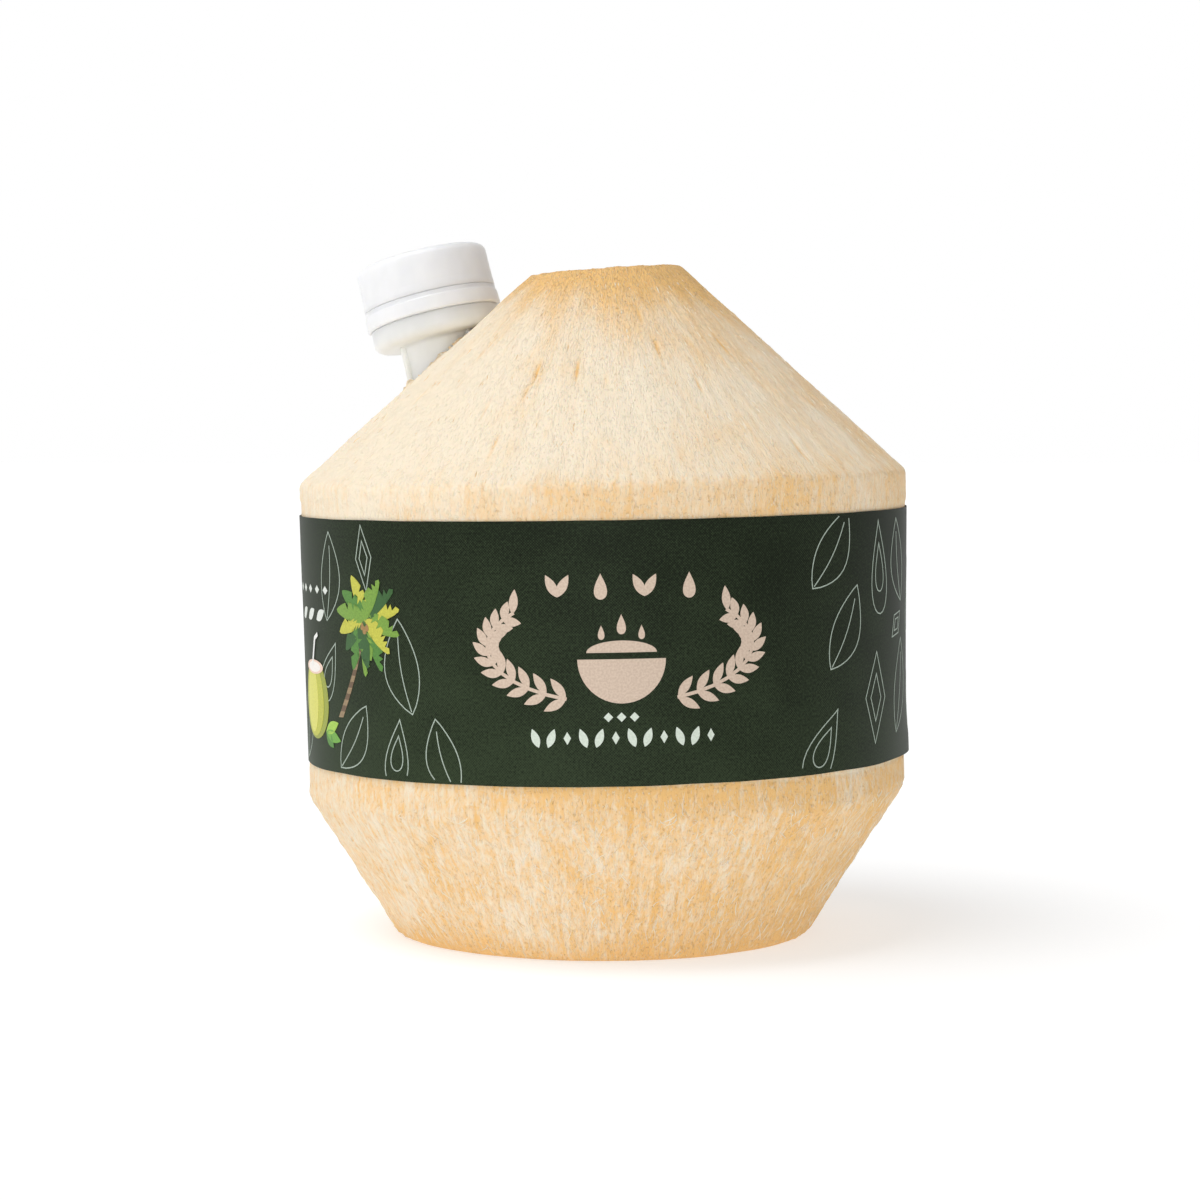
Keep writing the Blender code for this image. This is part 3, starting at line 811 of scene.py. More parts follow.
def husk_tone(angle, radius, height, down, corners, tears, from_spout):
    """How browned the husk is, from 0 for fresh cream to 1 for tan, with painted shade that makes its right
    side, away from the key light, browner and its left side paler.
    """
    top, shoulder = corners[:2]
    front = (math.degrees(angle) + 90 + 180) % 360 - 180
    # Painted shade: right grows towards the right side, away from the key light, and falls on the left
    # where the light is.
    right = math.sin(math.radians(front))
    below_rim = top[1] - height
    patch = noise.noise(Vector((math.cos(angle) * 2.4, math.sin(angle) * 2.4, down / 0.02)))
    if height > shoulder[1] and radius < top[0] - CUT_EDGE:
        place = Vector((radius * math.cos(angle), radius * math.sin(angle), 0.0))
        return 0.62 + 0.35 * noise.noise(place / 0.008) + 0.25 * max(0.0, radius / top[0]) ** 4
    if height > LABEL_BOTTOM:
        rim = math.exp(-below_rim / 0.0046) * (1.10 + 0.30 * math.sin(math.radians(front + 20)))
        upper = 0.34 * math.exp(-below_rim / 0.016)
        edge = 0.16 * math.exp(-abs(height - shoulder[1]) / 0.0020)
        # Painted shade: the right terms make the cone and the band browner on the right side and paler on
        # the left.
        cone = 0.18 + rim + upper + edge + 0.12 * patch + 0.17 * right
        band = 0.43 + 0.15 * right + 0.22 * patch + 0.18 * math.exp(-(((front - 12) / 28) ** 2))
        share = min(1.0, max(0.0, 0.5 + (height - shoulder[1]) / 0.0030))
        tone = band + (cone - band) * share * share * (3 - 2 * share)
    else:
        under_label = 0.45 * math.exp(-(LABEL_BOTTOM - height) / 0.006)
        under_label *= math.exp(-(((front - 5) / 30) ** 2))
        base_edge = 0.60 * math.exp(-max(0.0, height) / 0.0030)
        # Painted shade: the right term makes the lower cone browner on the right side and paler on the
        # left.
        tone = 0.60 + 0.24 * patch + base_edge + under_label + 0.17 * right
    for tear_angle, tear_height, length, depth in tears:
        if abs(height - tear_height) < 1.2 * length:
            sideways = radius * ((angle - tear_angle + math.pi) % (2 * math.pi) - math.pi) / TEAR_WIDTH
            if abs(sideways) < 3:
                lengthways = (height - tear_height) / (0.5 * length)
                tone += depth / 0.00035 * 0.7 * math.exp(-(sideways**2) - lengthways**2)
    away = math.hypot(from_spout.x, from_spout.y)
    if away < 0.014 and height > shoulder[1]:
        tone += 0.30 * math.exp(-(((away - 0.0098) / 0.0016) ** 2))
    return tone


def sliver(points, widths, lifts):
    """A thin three-sided splinter along (point, normal) pairs."""
    corners, faces = [], []
    for k, ((point, normal), width, lift) in enumerate(zip(points, widths, lifts)):
        ahead = points[min(k + 1, len(points) - 1)][0] - points[max(k - 1, 0)][0]
        side = ahead.cross(normal).normalized() * width / 2
        middle = point + normal * lift
        corners += [middle - side, middle + side, middle + normal * width * 0.45]
        if k:
            start = 3 * (k - 1)
            for edge in range(3):
                ahead_edge = (edge + 1) % 3
                faces.append((start + edge, start + ahead_edge, start + 3 + ahead_edge, start + 3 + edge))
    faces.append((2, 1, 0))
    last = 3 * (len(points) - 1)
    faces.append((last, last + 1, last + 2))
    return corners, faces


def gathered(parts):
    """One list of points and one of faces from several small meshes."""
    points, faces = [], []
    for corners, sides in parts:
        faces += [tuple(index + len(points) for index in side) for side in sides]
        points += corners
    return points, faces


def side_slivers(skin, husk):
    """Fibres that lie on the shaved cone and on the lower cone."""
    draw = random.Random(5)
    rim_row = len(RUNS[0]) + 5
    cone = (rim_row + 4, rim_row + len(RUNS[1]) + 2)
    lower_start = cone[1] + 5 + len(RUNS[2])
    lower = (lower_start - 4, lower_start + 7 + len(RUNS[3]))
    for k in range(husk.slivers):
        on_cone = k % 5 < 2
        rows = cone if on_cone else lower
        length = draw.uniform(1.2, 3.4) if on_cone else draw.uniform(2.0, 7.0)  # in rows of 0.8 mm
        row = draw.uniform(rows[0], rows[1] - length)
        column = draw.uniform(0, HUSK_COLUMNS)
        drift = draw.gauss(0, 0.25 if on_cone else 0.55) * length
        bend = draw.gauss(0, 0.15 if on_cone else 0.9)
        width = draw.uniform(0.00012, 0.00026)
        sections = 5 if on_cone else 7
        points, widths, lifts = [], [], []
        for step in range(sections):
            share = step / (sections - 1)
            arch = math.sin(math.pi * share)
            points.append(skin.at(row + length * share, column + drift * share + bend * arch))
            widths.append(width * (0.25 + 0.75 * arch))
            lifts.append(-0.00006 + 0.00007 * arch)
        yield sliver(points, widths, lifts)


def lip_slivers(to_world, husk):
    """Torn fibres that stand round the spout's stem, leaning on it."""
    draw = random.Random(23)
    axis = to_world.to_3x3() @ Vector((0, 0, 1))
    for k in range(220):
        turn = 2 * math.pi * (k + draw.random()) / 220
        foot = draw.uniform(0.0094, 0.0112)
        outward = to_world.to_3x3() @ Vector((math.cos(turn), math.sin(turn), 0))
        base = on_cone(to_world.translation + outward * foot, axis)
        tall = draw.uniform(0.0006, 0.0020) * husk.lip / 0.0018
        lean = draw.uniform(0.15, 0.9)
        sway = outward.cross(axis) * draw.gauss(0, 0.0006)
        points, widths, lifts = [], [], []
        for step in range(4):
            share = step / 3
            inward = outward * ((foot - STEM_RADIUS - 0.0002) * lean * share)
            points.append((base + axis * (tall * share - 0.0005) - inward + sway * share, outward))
            widths.append(draw.uniform(0.0006, 0.0014) * (1 - 0.55 * share))
            lifts.append(0.0)
        yield sliver(points, widths, lifts)


def on_cone(point, axis):
    """Where a line along the axis meets the upper cone."""
    start, gain = upper_side()
    low, high = -0.04, 0.02
    for _ in range(30):
        middle = (low + high) / 2
        x, y, height = point + axis * middle
        surface = (math.hypot(x - UPPER_SHIFT, y) - start) / gain
        low, high = (middle, high) if height < surface else (low, middle)
    return point + axis * low


def make_husk():
    husk = bpy.context.scene.coconut_husk
    skin = Skin(husk)
    raise_lip(skin, husk, spout_frame().inverted())
    rows = len(skin.points)
    points = [tuple(p) for p in skin.points.reshape(-1, 3)]
    faces = []
    for row in range(rows - 1):
        for column in range(HUSK_COLUMNS):
            ahead = (column + 1) % HUSK_COLUMNS
            one, two = row * HUSK_COLUMNS, (row + 1) * HUSK_COLUMNS
            faces.append((one + column, two + column, two + ahead, one + ahead))
    for row, height, turned_over in (0, HUSK_HEIGHT, False), (rows - 1, skin.points[-1, 0, 2], True):
        middle = len(points)
        points.append((0, 0, height))
        for column in range(HUSK_COLUMNS):
            ahead = (column + 1) % HUSK_COLUMNS
            pair = (row * HUSK_COLUMNS + column, row * HUSK_COLUMNS + ahead)
            faces.append((middle, *(reversed(pair) if turned_over else pair)))
    piece = new_piece("husk", points, faces, husk_material("shaved_husk", husk))
    well = [
        (0.0, WELL_OPEN),
        (BAND_BOTTOM_RADIUS + WELL_GAP, WELL_OPEN),
        (BAND_BOTTOM_RADIUS + WELL_GAP, COLLAR_TOP),
        (COLLAR_RADIUS + WELL_GAP, COLLAR_TOP - WELL_GAP),
        (COLLAR_RADIUS + WELL_GAP, COLLAR_UNDERSIDE - WELL_GAP),
        (STEM_RADIUS + STEM_GAP, COLLAR_UNDERSIDE - WELL_GAP),
        (STEM_RADIUS + STEM_GAP, STEM_END - WELL_SPARE),
        (0.0, STEM_END - WELL_SPARE),
    ]
    cutter = turned("well", well, spout_frame(), piece.data.materials[0], closed=False, steps=96)
    combine(piece, cutter, "DIFFERENCE")
    paint_husk(piece.data)
    piece.data.materials.append(husk_material("cut_husk", husk, across=True))
    for face in piece.data.polygons:
        x, y, height = face.center
        top, shoulder = corners_at(math.atan2(y, x))[:2]
        on_top = height > shoulder[1] and math.hypot(x, y) < top[0] - CUT_EDGE
        face.material_index = int(on_top or height < FOOT / 2)
    smoothed(piece, math.radians(60))
    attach(piece, "fruit")
    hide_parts("coconut")
    fibre = sliver_material("loose_fibre", husk)
    slivers = {"husk_fibres": side_slivers(skin, husk), "lip_fibres": lip_slivers(spout_frame(), husk)}
    for name, made in slivers.items():
        corners, sides = gathered(made)
        fibres = new_piece(name, corners, sides, fibre, math.radians(80))
        paint_husk(fibres.data)
        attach(fibres, "fruit")


# ---- Label ---------------------------------------------------------------------------------------
FILM_STANDOFF = 0.00028  # from the smooth waist to the film's printed side
LAP_RISE = 0.0004  # how far the lapped end stands above the film's start


def film_point(along, up, lift=0.0):
    """World place of a point on the film: along it from the front's middle, up from its lower edge."""
    angle = along / LABEL_RADIUS
    wave = 0.00010 * noise.noise(Vector((along / 0.018, up / 0.022, 2.0)))
    corner = 0.0007 * math.exp(-(((angle - 1.50) / 0.14) ** 2)) * math.exp(-((up / 0.007) ** 2))
    behind = math.pi * LABEL_RADIUS
    lap = min(1.0, max(0.0, (along - behind + LABEL_LAP_RAMP) / LABEL_LAP_RAMP))
    height = LABEL_BOTTOM + up
    over = LAP_RISE * lap * lap * (3 - 2 * lap)
    radius = waist_radius(height) + FILM_STANDOFF + wave + corner + over + lift
    return waist_frame() @ Vector((radius * math.sin(angle), -radius * math.cos(angle), height))


def store_film_place(mesh, places):
    film = mesh.attributes.new("film", "FLOAT_VECTOR", "POINT")
    for k, (along, up) in enumerate(places):
        film.data[k].vector = (along, up, 0.0)


def make_film():
    """The wrapped film, its end lapped over its start at the back."""
    label = bpy.context.scene.coconut_label
    half = math.pi * LABEL_RADIUS
    places = []
    for row in range(FILM_ROWS + 1):
        up = LABEL_HEIGHT * row / FILM_ROWS
        for column in range(FILM_COLUMNS + 1):
            along = -half + (2 * half + LABEL_LAP) * column / FILM_COLUMNS
            if row in (0, FILM_ROWS):
                places.append((along, up + 0.00012 * noise.noise(Vector((along / 0.012, row, 4.0)))))
            else:
                places.append((along, up))
    width = FILM_COLUMNS + 1
    count = len(places)
    points = [film_point(*p) for p in places] + [film_point(*p, -label.film_thickness) for p in places]
    faces = []
    for row in range(FILM_ROWS):
        for column in range(FILM_COLUMNS):
            corners = [row * width + column, row * width + column + 1]
            corners += [corners[1] + width, corners[0] + width]
            faces.append(tuple(corners))
            faces.append(tuple(count + c for c in reversed(corners)))
    top = FILM_ROWS * width
    border = list(range(width)) + [row * width + FILM_COLUMNS for row in range(1, FILM_ROWS + 1)]
    border += [top + column for column in range(FILM_COLUMNS - 1, -1, -1)]
    border += [row * width for row in range(FILM_ROWS - 1, 0, -1)]
    for here, there in zip(border, border[1:] + border[:1]):
        faces.append((there, here, count + here, count + there))
    film = new_piece("label_film", points, faces, film_material("printed_film", label), math.radians(40))
    store_film_place(film.data, places + places)
    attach(film, "fruit")
    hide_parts("label")


# ---- Printed artwork -----------------------------------------------------------------------------
# Shapes are lists of (along, up) points on the flat film, in metres.
def placed(shape, along, up, turn=0.0, size=1.0):
    cosine, sine = math.cos(math.radians(turn)) * size, math.sin(math.radians(turn)) * size
    return [(along + x * cosine - y * sine, up + x * sine + y * cosine) for x, y in shape]


def stepped(along, up, reach, tilt):
    """The point at this distance from another, in the direction of the tilt."""
    return along + reach * math.cos(math.radians(tilt)), up + reach * math.sin(math.radians(tilt))


def leaf(length, width, bend=0.0, steps=14):
    """A pointed leaf lying along the first axis, centred on its middle."""
    sides = []
    for side in (1, -1):
        for k in range(steps):
            share = k / steps if side > 0 else 1 - k / steps
            swell = math.sin(math.pi * share) ** 0.85 * (1.12 - 0.3 * share)
            bow = bend * math.sin(math.pi * share)
            sides.append(((share - 0.5) * length, side * width / 2 * swell + bow))
    return sides


def midrib(length, bend=0.0, steps=10):
    """The line from a leaf's foot to near its tip."""
    shares = [0.03 + 0.82 * k / steps for k in range(steps + 1)]
    return [((share - 0.5) * length, bend * math.sin(math.pi * share)) for share in shares]


def drop(length, width, steps=26):
    """A droplet, its point up the first axis."""
    shape = []
    for k in range(steps):
        angle = 2 * math.pi * k / steps
        spread = math.sin(angle) * math.sin(angle / 2) ** 1.3
        shape.append((length / 2 * math.cos(angle), width / 2 * spread))
    return shape


def half_bowl(radius, steps=24):
    """The lower half of a round shell, its flat side up."""
    angles = [math.pi * (1 + k / steps) for k in range(steps + 1)]
    return [(radius * math.cos(angle), radius * math.sin(angle)) for angle in angles]


def unit_circle(steps):
    angles = [2 * math.pi * k / steps for k in range(steps)]
    return [(math.cos(angle), math.sin(angle)) for angle in angles]


def lozenge(length, width):
    return [(length / 2, 0.0), (0.0, width / 2), (-length / 2, 0.0), (0.0, -width / 2)]


def resampled(shape, step, closed=True):
    """The same outline with a point at least every step."""
    ends = shape[1:] + shape[:1] if closed else shape[1:]
    points = []
    for (x, y), (to_x, to_y) in zip(shape, ends):
        parts = max(1, math.ceil(math.hypot(to_x - x, to_y - y) / step))
        points += [(x + (to_x - x) * k / parts, y + (to_y - y) * k / parts) for k in range(parts)]
    return points if closed else points + [shape[-1]]


def stroke(shape, width, closed=True):
    """Quads along a line, mitred at its corners."""
    line = resampled(shape, 0.0015, closed)
    count = len(line)
    left, right = [], []
    for k, (x, y) in enumerate(line):
        before = line[k - 1] if closed or k else line[0]
        after = line[(k + 1) % count] if closed or k < count - 1 else line[-1]
        first = Vector((x - before[0], y - before[1]))
        second = Vector((after[0] - x, after[1] - y))
        inside = first.length and second.length
        along = first.normalized() + second.normalized() if inside else first + second
        along = along.normalized() if along.length > 1e-9 else second.normalized()
        spread = width / 2
        if inside:
            spread /= max(0.5, along.dot(first.normalized()))
        left.append((x - along.y * spread, y + along.x * spread))
        right.append((x + along.y * spread, y - along.x * spread))
    last = count if closed else count - 1
    return [[right[k], right[(k + 1) % count], left[(k + 1) % count], left[k]] for k in range(last)]


def inside_film(shape):
    return all(0.0003 < up < LABEL_HEIGHT - 0.0003 for _, up in shape)


class Artwork:
    """Printed shapes that become one thin piece; each layer lies on the one before."""

    def __init__(self, name):
        self.name = name
        self.shapes = []

    def fill(self, shape, ink, layer=0):
        self.shapes.append((shape, ink, layer, True))

    def line(self, shape, ink, width, closed=True, layer=0):
        for quad in stroke(shape, width, closed):
            if inside_film(quad):
                self.shapes.append((quad, ink, layer, False))

    def make(self, material, thickness):
        points, faces, inks, places = [], [], [], []
        for shape, ink, layer, cut in self.shapes:
            flat, sides = curved_ready(shape) if cut else (shape, [tuple(range(len(shape)))])
            start, count = len(points), len(flat)
            low = 0.00002 + layer * thickness
            for lift in (low, low + thickness):
                points += [film_point(along, up, lift) for along, up in flat]
                places += flat
                inks += [ink] * count
            edges = {}
            for side in sides:
                faces.append(tuple(start + count + index for index in side))
                faces.append(tuple(start + index for index in reversed(side)))
                for one, two in zip(side, side[1:] + side[:1]):
                    edges[(one, two)] = edges.get((one, two), 0) + 1
            for one, two in edges:
                if (two, one) not in edges:
                    faces.append((start + one, start + two, start + count + two, start + count + one))
        piece = new_piece(self.name, points, faces, material)
        store_film_place(piece.data, places)
        attribute = piece.data.attributes.new("ink", "FLOAT_COLOR", "POINT")
        for k, ink in enumerate(inks):
            attribute.data[k].color = (*ink, 1.0)
        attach(piece, "fruit")
        return piece


def curved_ready(shape):
    """The shape as small faces, cut across every few millimetres so that it can follow the waist."""
    sheet = bmesh.new()
    area = sum(x * to_y - to_x * y for (x, y), (to_x, to_y) in zip(shape, shape[1:] + shape[:1]))
    corners = shape if area > 0 else shape[::-1]
    face = sheet.faces.new([sheet.verts.new((x, y, 0)) for x, y in corners])
    bmesh.ops.triangulate(sheet, faces=[face])
    low = min(x for x, _ in shape)
    high = max(x for x, _ in shape)
    cut = low + 0.0025
    while cut < high - 0.0005:
        everything = sheet.verts[:] + sheet.edges[:] + sheet.faces[:]
        bmesh.ops.bisect_plane(sheet, geom=everything, plane_co=(cut, 0, 0), plane_no=(1, 0, 0))
        cut += 0.0025
    sheet.verts.index_update()
    flat = [(v.co.x, v.co.y) for v in sheet.verts]
    sides = [tuple(v.index for v in f.verts) for f in sheet.faces]
    sheet.free()
    return flat, sides


def draw_emblem(art, label):
    """A halved nut with its flesh and three drops, between two curved sprays of leaves."""
    centre, foot = 0.0032, 0.0165
    ink = tuple(label.emblem)
    art.fill(placed(half_bowl(0.0088), centre, foot + 0.0088), ink)
    rim = [(x, y * 0.34) for x, y in half_bowl(0.0070)]
    art.fill(placed([(x, -y) for x, y in rim][::-1], centre, foot + 0.0101), ink)
    for aside, up, size in ((0.0, 0.0157, 1.0), (-0.0040, 0.0141, 0.72), (0.0040, 0.0141, 0.72)):
        art.fill(placed(drop(0.0040, 0.0025), centre + aside, foot + up, -90 + 180, size), ink)
    for side in (1, -1):
        spine = []
        for k in range(12):
            turn = math.radians(-66 + 104 * k / 11)
            spine.append((centre + side * 0.0272 * math.cos(turn), foot + 0.0112 + 0.0112 * math.sin(turn)))
        art.line(spine, ink, 0.0007, closed=False)
        for k, ((along, up), (next_along, next_up)) in enumerate(zip(spine, spine[1:])):
            heading = math.degrees(math.atan2(next_up - up, next_along - along))
            length = 0.0050 - 0.00012 * k
            for tilt in (heading + 40, heading - 40):
                middle = stepped(along, up, length / 2 + 0.0002, tilt)
                art.fill(placed(leaf(length, 0.0019), *middle, tilt), ink)
        along, up = spine[-1]
        art.fill(placed(leaf(0.0050, 0.0019), along, up + 0.0022, 96 if side > 0 else 84), ink)


def draw_small_rows(art, label):
    """A row of sprouts and drops over the emblem, and two rows of small marks under it."""
    ink, pale = tuple(label.emblem), tuple(label.row)
    for k, along in enumerate((-0.0094, -0.0008, 0.0079, 0.0169)):
        if k % 2:
            art.fill(placed(drop(0.0052, 0.0036), along, 0.0397, 90), ink)
            continue
        for tilt in (62, 118):
            reach = 0.0024
            aside = reach * math.cos(math.radians(tilt))
            art.fill(placed(leaf(0.0050, 0.0020), along + aside, 0.0396 + reach * 0.1, tilt), ink)
    for along in (0.0004, 0.0030, 0.0056):
        art.fill(placed(lozenge(0.0019, 0.0019), along, 0.0138), pale)
    for k in range(12):
        along = -0.0143 + k * 0.00322
        if k % 3 == 2:
            art.fill(placed(lozenge(0.0026, 0.0015), along, 0.0097, 90), pale)
        else:
            art.fill(placed(leaf(0.0040, 0.0017), along, 0.0097, 70 if k % 3 else 110), pale)


# (kind, along, up, length, width, turn) of the outlined shapes, in millimetres and degrees
OUTLINED = (
    ("leaf", -69.8, 40.8, 18.6, 9.0, 84), ("lozenge", -55.2, 45.0, 13.5, 5.2, 96),
    ("drop", -70.5, 21.0, 14.0, 9.5, 60), ("leaf", -43.7, 23.3, 19.5, 9.5, 100),
    ("leaf", -61.0, 8.0, 17.0, 8.6, 52), ("drop", -46.5, 5.6, 14.0, 9.0, 82),
    ("leaf", -33.8, 5.4, 16.0, 8.0, 108), ("leaf", 50.8, 45.6, 19.0, 9.6, 56),
    ("drop", 69.0, 41.0, 19.5, 10.0, 94), ("leaf", 55.2, 29.4, 19.0, 9.4, 62),
    ("lozenge", 67.6, 14.0, 19.0, 9.0, 88), ("drop", 48.7, 5.4, 17.0, 11.0, 60),
    ("leaf", 81.0, 42.0, 18.0, 9.0, 104), ("leaf", 81.5, 15.5, 20.0, 9.0, 80),
    ("lozenge", 79.5, 28.5, 8.0, 5.0, 40), ("drop", 95.0, 34.0, 17.0, 9.0, 70),
    ("leaf", 98.0, 10.0, 17.0, 8.5, 118), ("leaf", 109.0, 43.0, 17.0, 8.0, 60),
    ("lozenge", 112.0, 23.0, 14.0, 7.0, 84), ("drop", 124.0, 38.0, 16.0, 9.5, 104),
    ("leaf", 127.0, 12.0, 18.0, 9.0, 66), ("leaf", 142.0, 41.0, 18.0, 8.6, 92),
    ("drop", 144.0, 22.0, 15.0, 9.0, 118), ("lozenge", 157.0, 36.0, 15.0, 6.0, 72),
    ("leaf", 159.0, 11.0, 18.0, 9.0, 98), ("drop", 172.0, 42.0, 15.0, 9.0, 64),
    ("leaf", 175.0, 21.0, 18.0, 8.6, 110), ("leaf", -88.0, 9.5, 17.0, 8.6, 74),
    ("leaf", -103.0, 40.0, 18.0, 9.0, 66), ("drop", -104.0, 16.0, 17.0, 9.5, 96),
    ("lozenge", -118.0, 33.0, 15.0, 6.4, 108), ("leaf", -120.0, 9.0, 16.0, 8.4, 58),
    ("leaf", -133.0, 42.0, 17.0, 8.6, 88), ("drop", -135.0, 20.0, 16.0, 9.0, 72),
    ("leaf", -149.0, 34.0, 18.0, 9.0, 114), ("lozenge", -151.0, 11.0, 14.0, 6.6, 90),
    ("drop", -165.0, 40.0, 15.0, 9.0, 84), ("leaf", -168.0, 16.0, 18.0, 8.8, 64),
    ("leaf", -184.0, 36.0, 17.0, 8.4, 98), ("drop", -186.0, 12.0, 15.0, 9.0, 70),
    ("leaf", 190.0, 37.5, 17.0, 8.6, 74), ("lozenge", 191.0, 13.0, 14.0, 6.6, 102),
    ("drop", 205.0, 24.0, 14.0, 8.4, 66),
)


def draw_outlines(art, label):
    """Outlined leaves with a midrib, nested drops and lozenges, scattered round the film."""
    ink = tuple(label.line)
    for kind, along, up, length, width, turn in OUTLINED:
        along, up, length, width = along / 1000, up / 1000, length / 1000, width / 1000
        if kind == "leaf":
            bend = 0.0012 if turn > 90 else -0.0012
            art.line(placed(leaf(length, width, bend), along, up, turn), ink, label.line_width)
            art.line(placed(midrib(length, bend), along, up, turn), ink, label.line_width, closed=False)
            continue
        shape = drop(length, width) if kind == "drop" else lozenge(length, width)
        art.line(placed(shape, along, up, turn), ink, label.line_width)
        art.line(placed(shape, along, up, turn, 0.52), ink, label.line_width)


def draw_palm(art):
    """A small painted palm: a bowed trunk under a crown of green and yellow fronds."""
    greens = ((0.020, 0.085, 0.012), (0.060, 0.190, 0.020), (0.150, 0.290, 0.030), (0.480, 0.470, 0.045))
    crown = (-0.0553, 0.0322)
    foot = (-0.0655, 0.0118)
    bark = ((0.115, 0.066, 0.030), (0.250, 0.170, 0.085))
    rings = 16
    for k in range(rings):
        spans = []
        for share in (k / rings, (k + 1.02) / rings):
            along = crown[0] + (foot[0] - crown[0]) * (share * 0.55 + share**2 * 0.45)
            up = crown[1] + (foot[1] - crown[1]) * share
            wide = 0.00042 + 0.00050 * share
            spans.append(((along - wide, up), (along + wide, up)))
        (a, b), (c, d) = spans
        art.fill([c, d, b, a], bark[k % 2])
    draw = random.Random(31)
    for k, tilt in enumerate((205, 180, 155, 232, 128, 258, 100, 282, 75, 310, 50, -25, 28, 0)):
        length = draw.uniform(0.0092, 0.0118)
        sag = -0.0026 if math.cos(math.radians(tilt)) > 0 else 0.0026
        green = greens[(k * 3 + k // 4) % 4]
        art.fill(placed(frond(length, 0.0040, sag), *crown, tilt), green, layer=1 + k % 3)
    for aside, up in ((-0.0007, -0.0011), (0.0008, -0.0013), (0.0, -0.0019)):
        nut = placed(drop(0.0017, 0.0017), crown[0] + aside, crown[1] + up, 90)
        art.fill(nut, (0.30, 0.17, 0.05), layer=4)


def frond(length, width, sag, blades=9):
    """A frond from its foot along the first axis, with cut blades along both edges."""
    edge = []
    for side in (1, -1):
        steps = range(blades) if side > 0 else reversed(range(blades))
        for k in steps:
            share = (k + 0.5) / blades
            swell = math.sin(math.pi * (0.12 + 0.86 * share)) ** 0.7
            out = (share, swell)
            notch = (share - 0.35 / blades, swell * 0.35)
            pair = (notch, out) if side > 0 else (out, notch)
            for part, spread in pair:
                droop = sag * part * part
                lag = 0.10 if spread == swell else 0.0
                edge.append(((part + lag) * length * 0.9, side * spread * width / 2 + droop))
        if side > 0:
            edge.append((length, sag))
    return [(0.0, 0.0), *edge]


def draw_drink(art):
    """A small painted green coconut with its top cut off, a straw and a leaf at its foot."""
    along, up = -0.0795, 0.0150
    body = []
    for cosine, sine in unit_circle(36):
        body.append((0.0082 * cosine * (1 - 0.10 * sine), min(0.0086 * sine, 0.0066)))
    tints = (
        (1.0, (0.26, 0.30, 0.020), 0.0),
        (0.80, (0.44, 0.45, 0.030), -0.0010),
        (0.50, (0.62, 0.60, 0.090), -0.0019),
    )
    for size, ink, shift in tints:
        shape = [(x * size + shift, y * (0.7 + 0.3 * size) - 0.0002) for x, y in body]
        art.fill(placed(shape, along, up), ink, layer=1 + round((1 - size) * 4))
    for size, ink, layer in ((1.0, (0.80, 0.56, 0.44), 4), (0.74, (0.86, 0.80, 0.74), 5)):
        oval = [(0.0058 * size * x, 0.0015 * size * y) for x, y in unit_circle(28)]
        art.fill([(along + x, up + 0.0064 + y) for x, y in oval], ink, layer=layer)
    straw = ((-0.0010, 0.0066), (0.0012, 0.0125), (0.0032, 0.0134))
    art.line([(along + x, up + y) for x, y in straw], (0.80, 0.80, 0.76), 0.0009, closed=False, layer=6)
    leaves = (
        (-12, 0.0072, (0.12, 0.33, 0.030)),
        (20, 0.0066, (0.30, 0.52, 0.050)),
        (-40, 0.0048, (0.06, 0.20, 0.020)),
    )
    for tilt, length, ink in leaves:
        middle = stepped(along + 0.0066, up - 0.0068, length / 2, tilt)
        art.fill(placed(leaf(length, 0.0026), *middle, tilt), ink, layer=2)
    for k in range(5):
        art.fill(placed(lozenge(0.0026, 0.0018), -0.0905 + 0.0048 * k, 0.0378), (0.66, 0.70, 0.64))
    for k in range(3):
        art.fill(placed(leaf(0.0052, 0.0023), -0.0870 + 0.0062 * k, 0.0325, 24), (0.66, 0.70, 0.64))


def make_artwork():
    label = bpy.context.scene.coconut_label
    ink = ink_material("printed_ink")
    for name, draw in (
        ("emblem_print", lambda art: (draw_emblem(art, label), draw_small_rows(art, label))),
        ("outline_print", lambda art: draw_outlines(art, label)),
        ("palm_print", draw_palm),
        ("drink_print", draw_drink),
    ):
        art = Artwork(name)
        draw(art)
        art.make(ink, label.ink_thickness)


# ---- Spout and closure ---------------------------------------------------------------------------
BARB_LEVELS = (-0.0183, -0.0233, -0.0283)
BARB_STANDS = 0.0010
BARB_LENGTH = 0.0030
BEAD_STANDS = 0.0011
COLLAR_WALL = 0.0012
COLLAR_FLOOR = 0.0015
STEM_RIB = (0.0017, 0.0014, 0.0120, 0.0004)  # depth, width, height and rounding
BRIDGE = (0.0005, 0.0007, 0.0008, 0.0001)


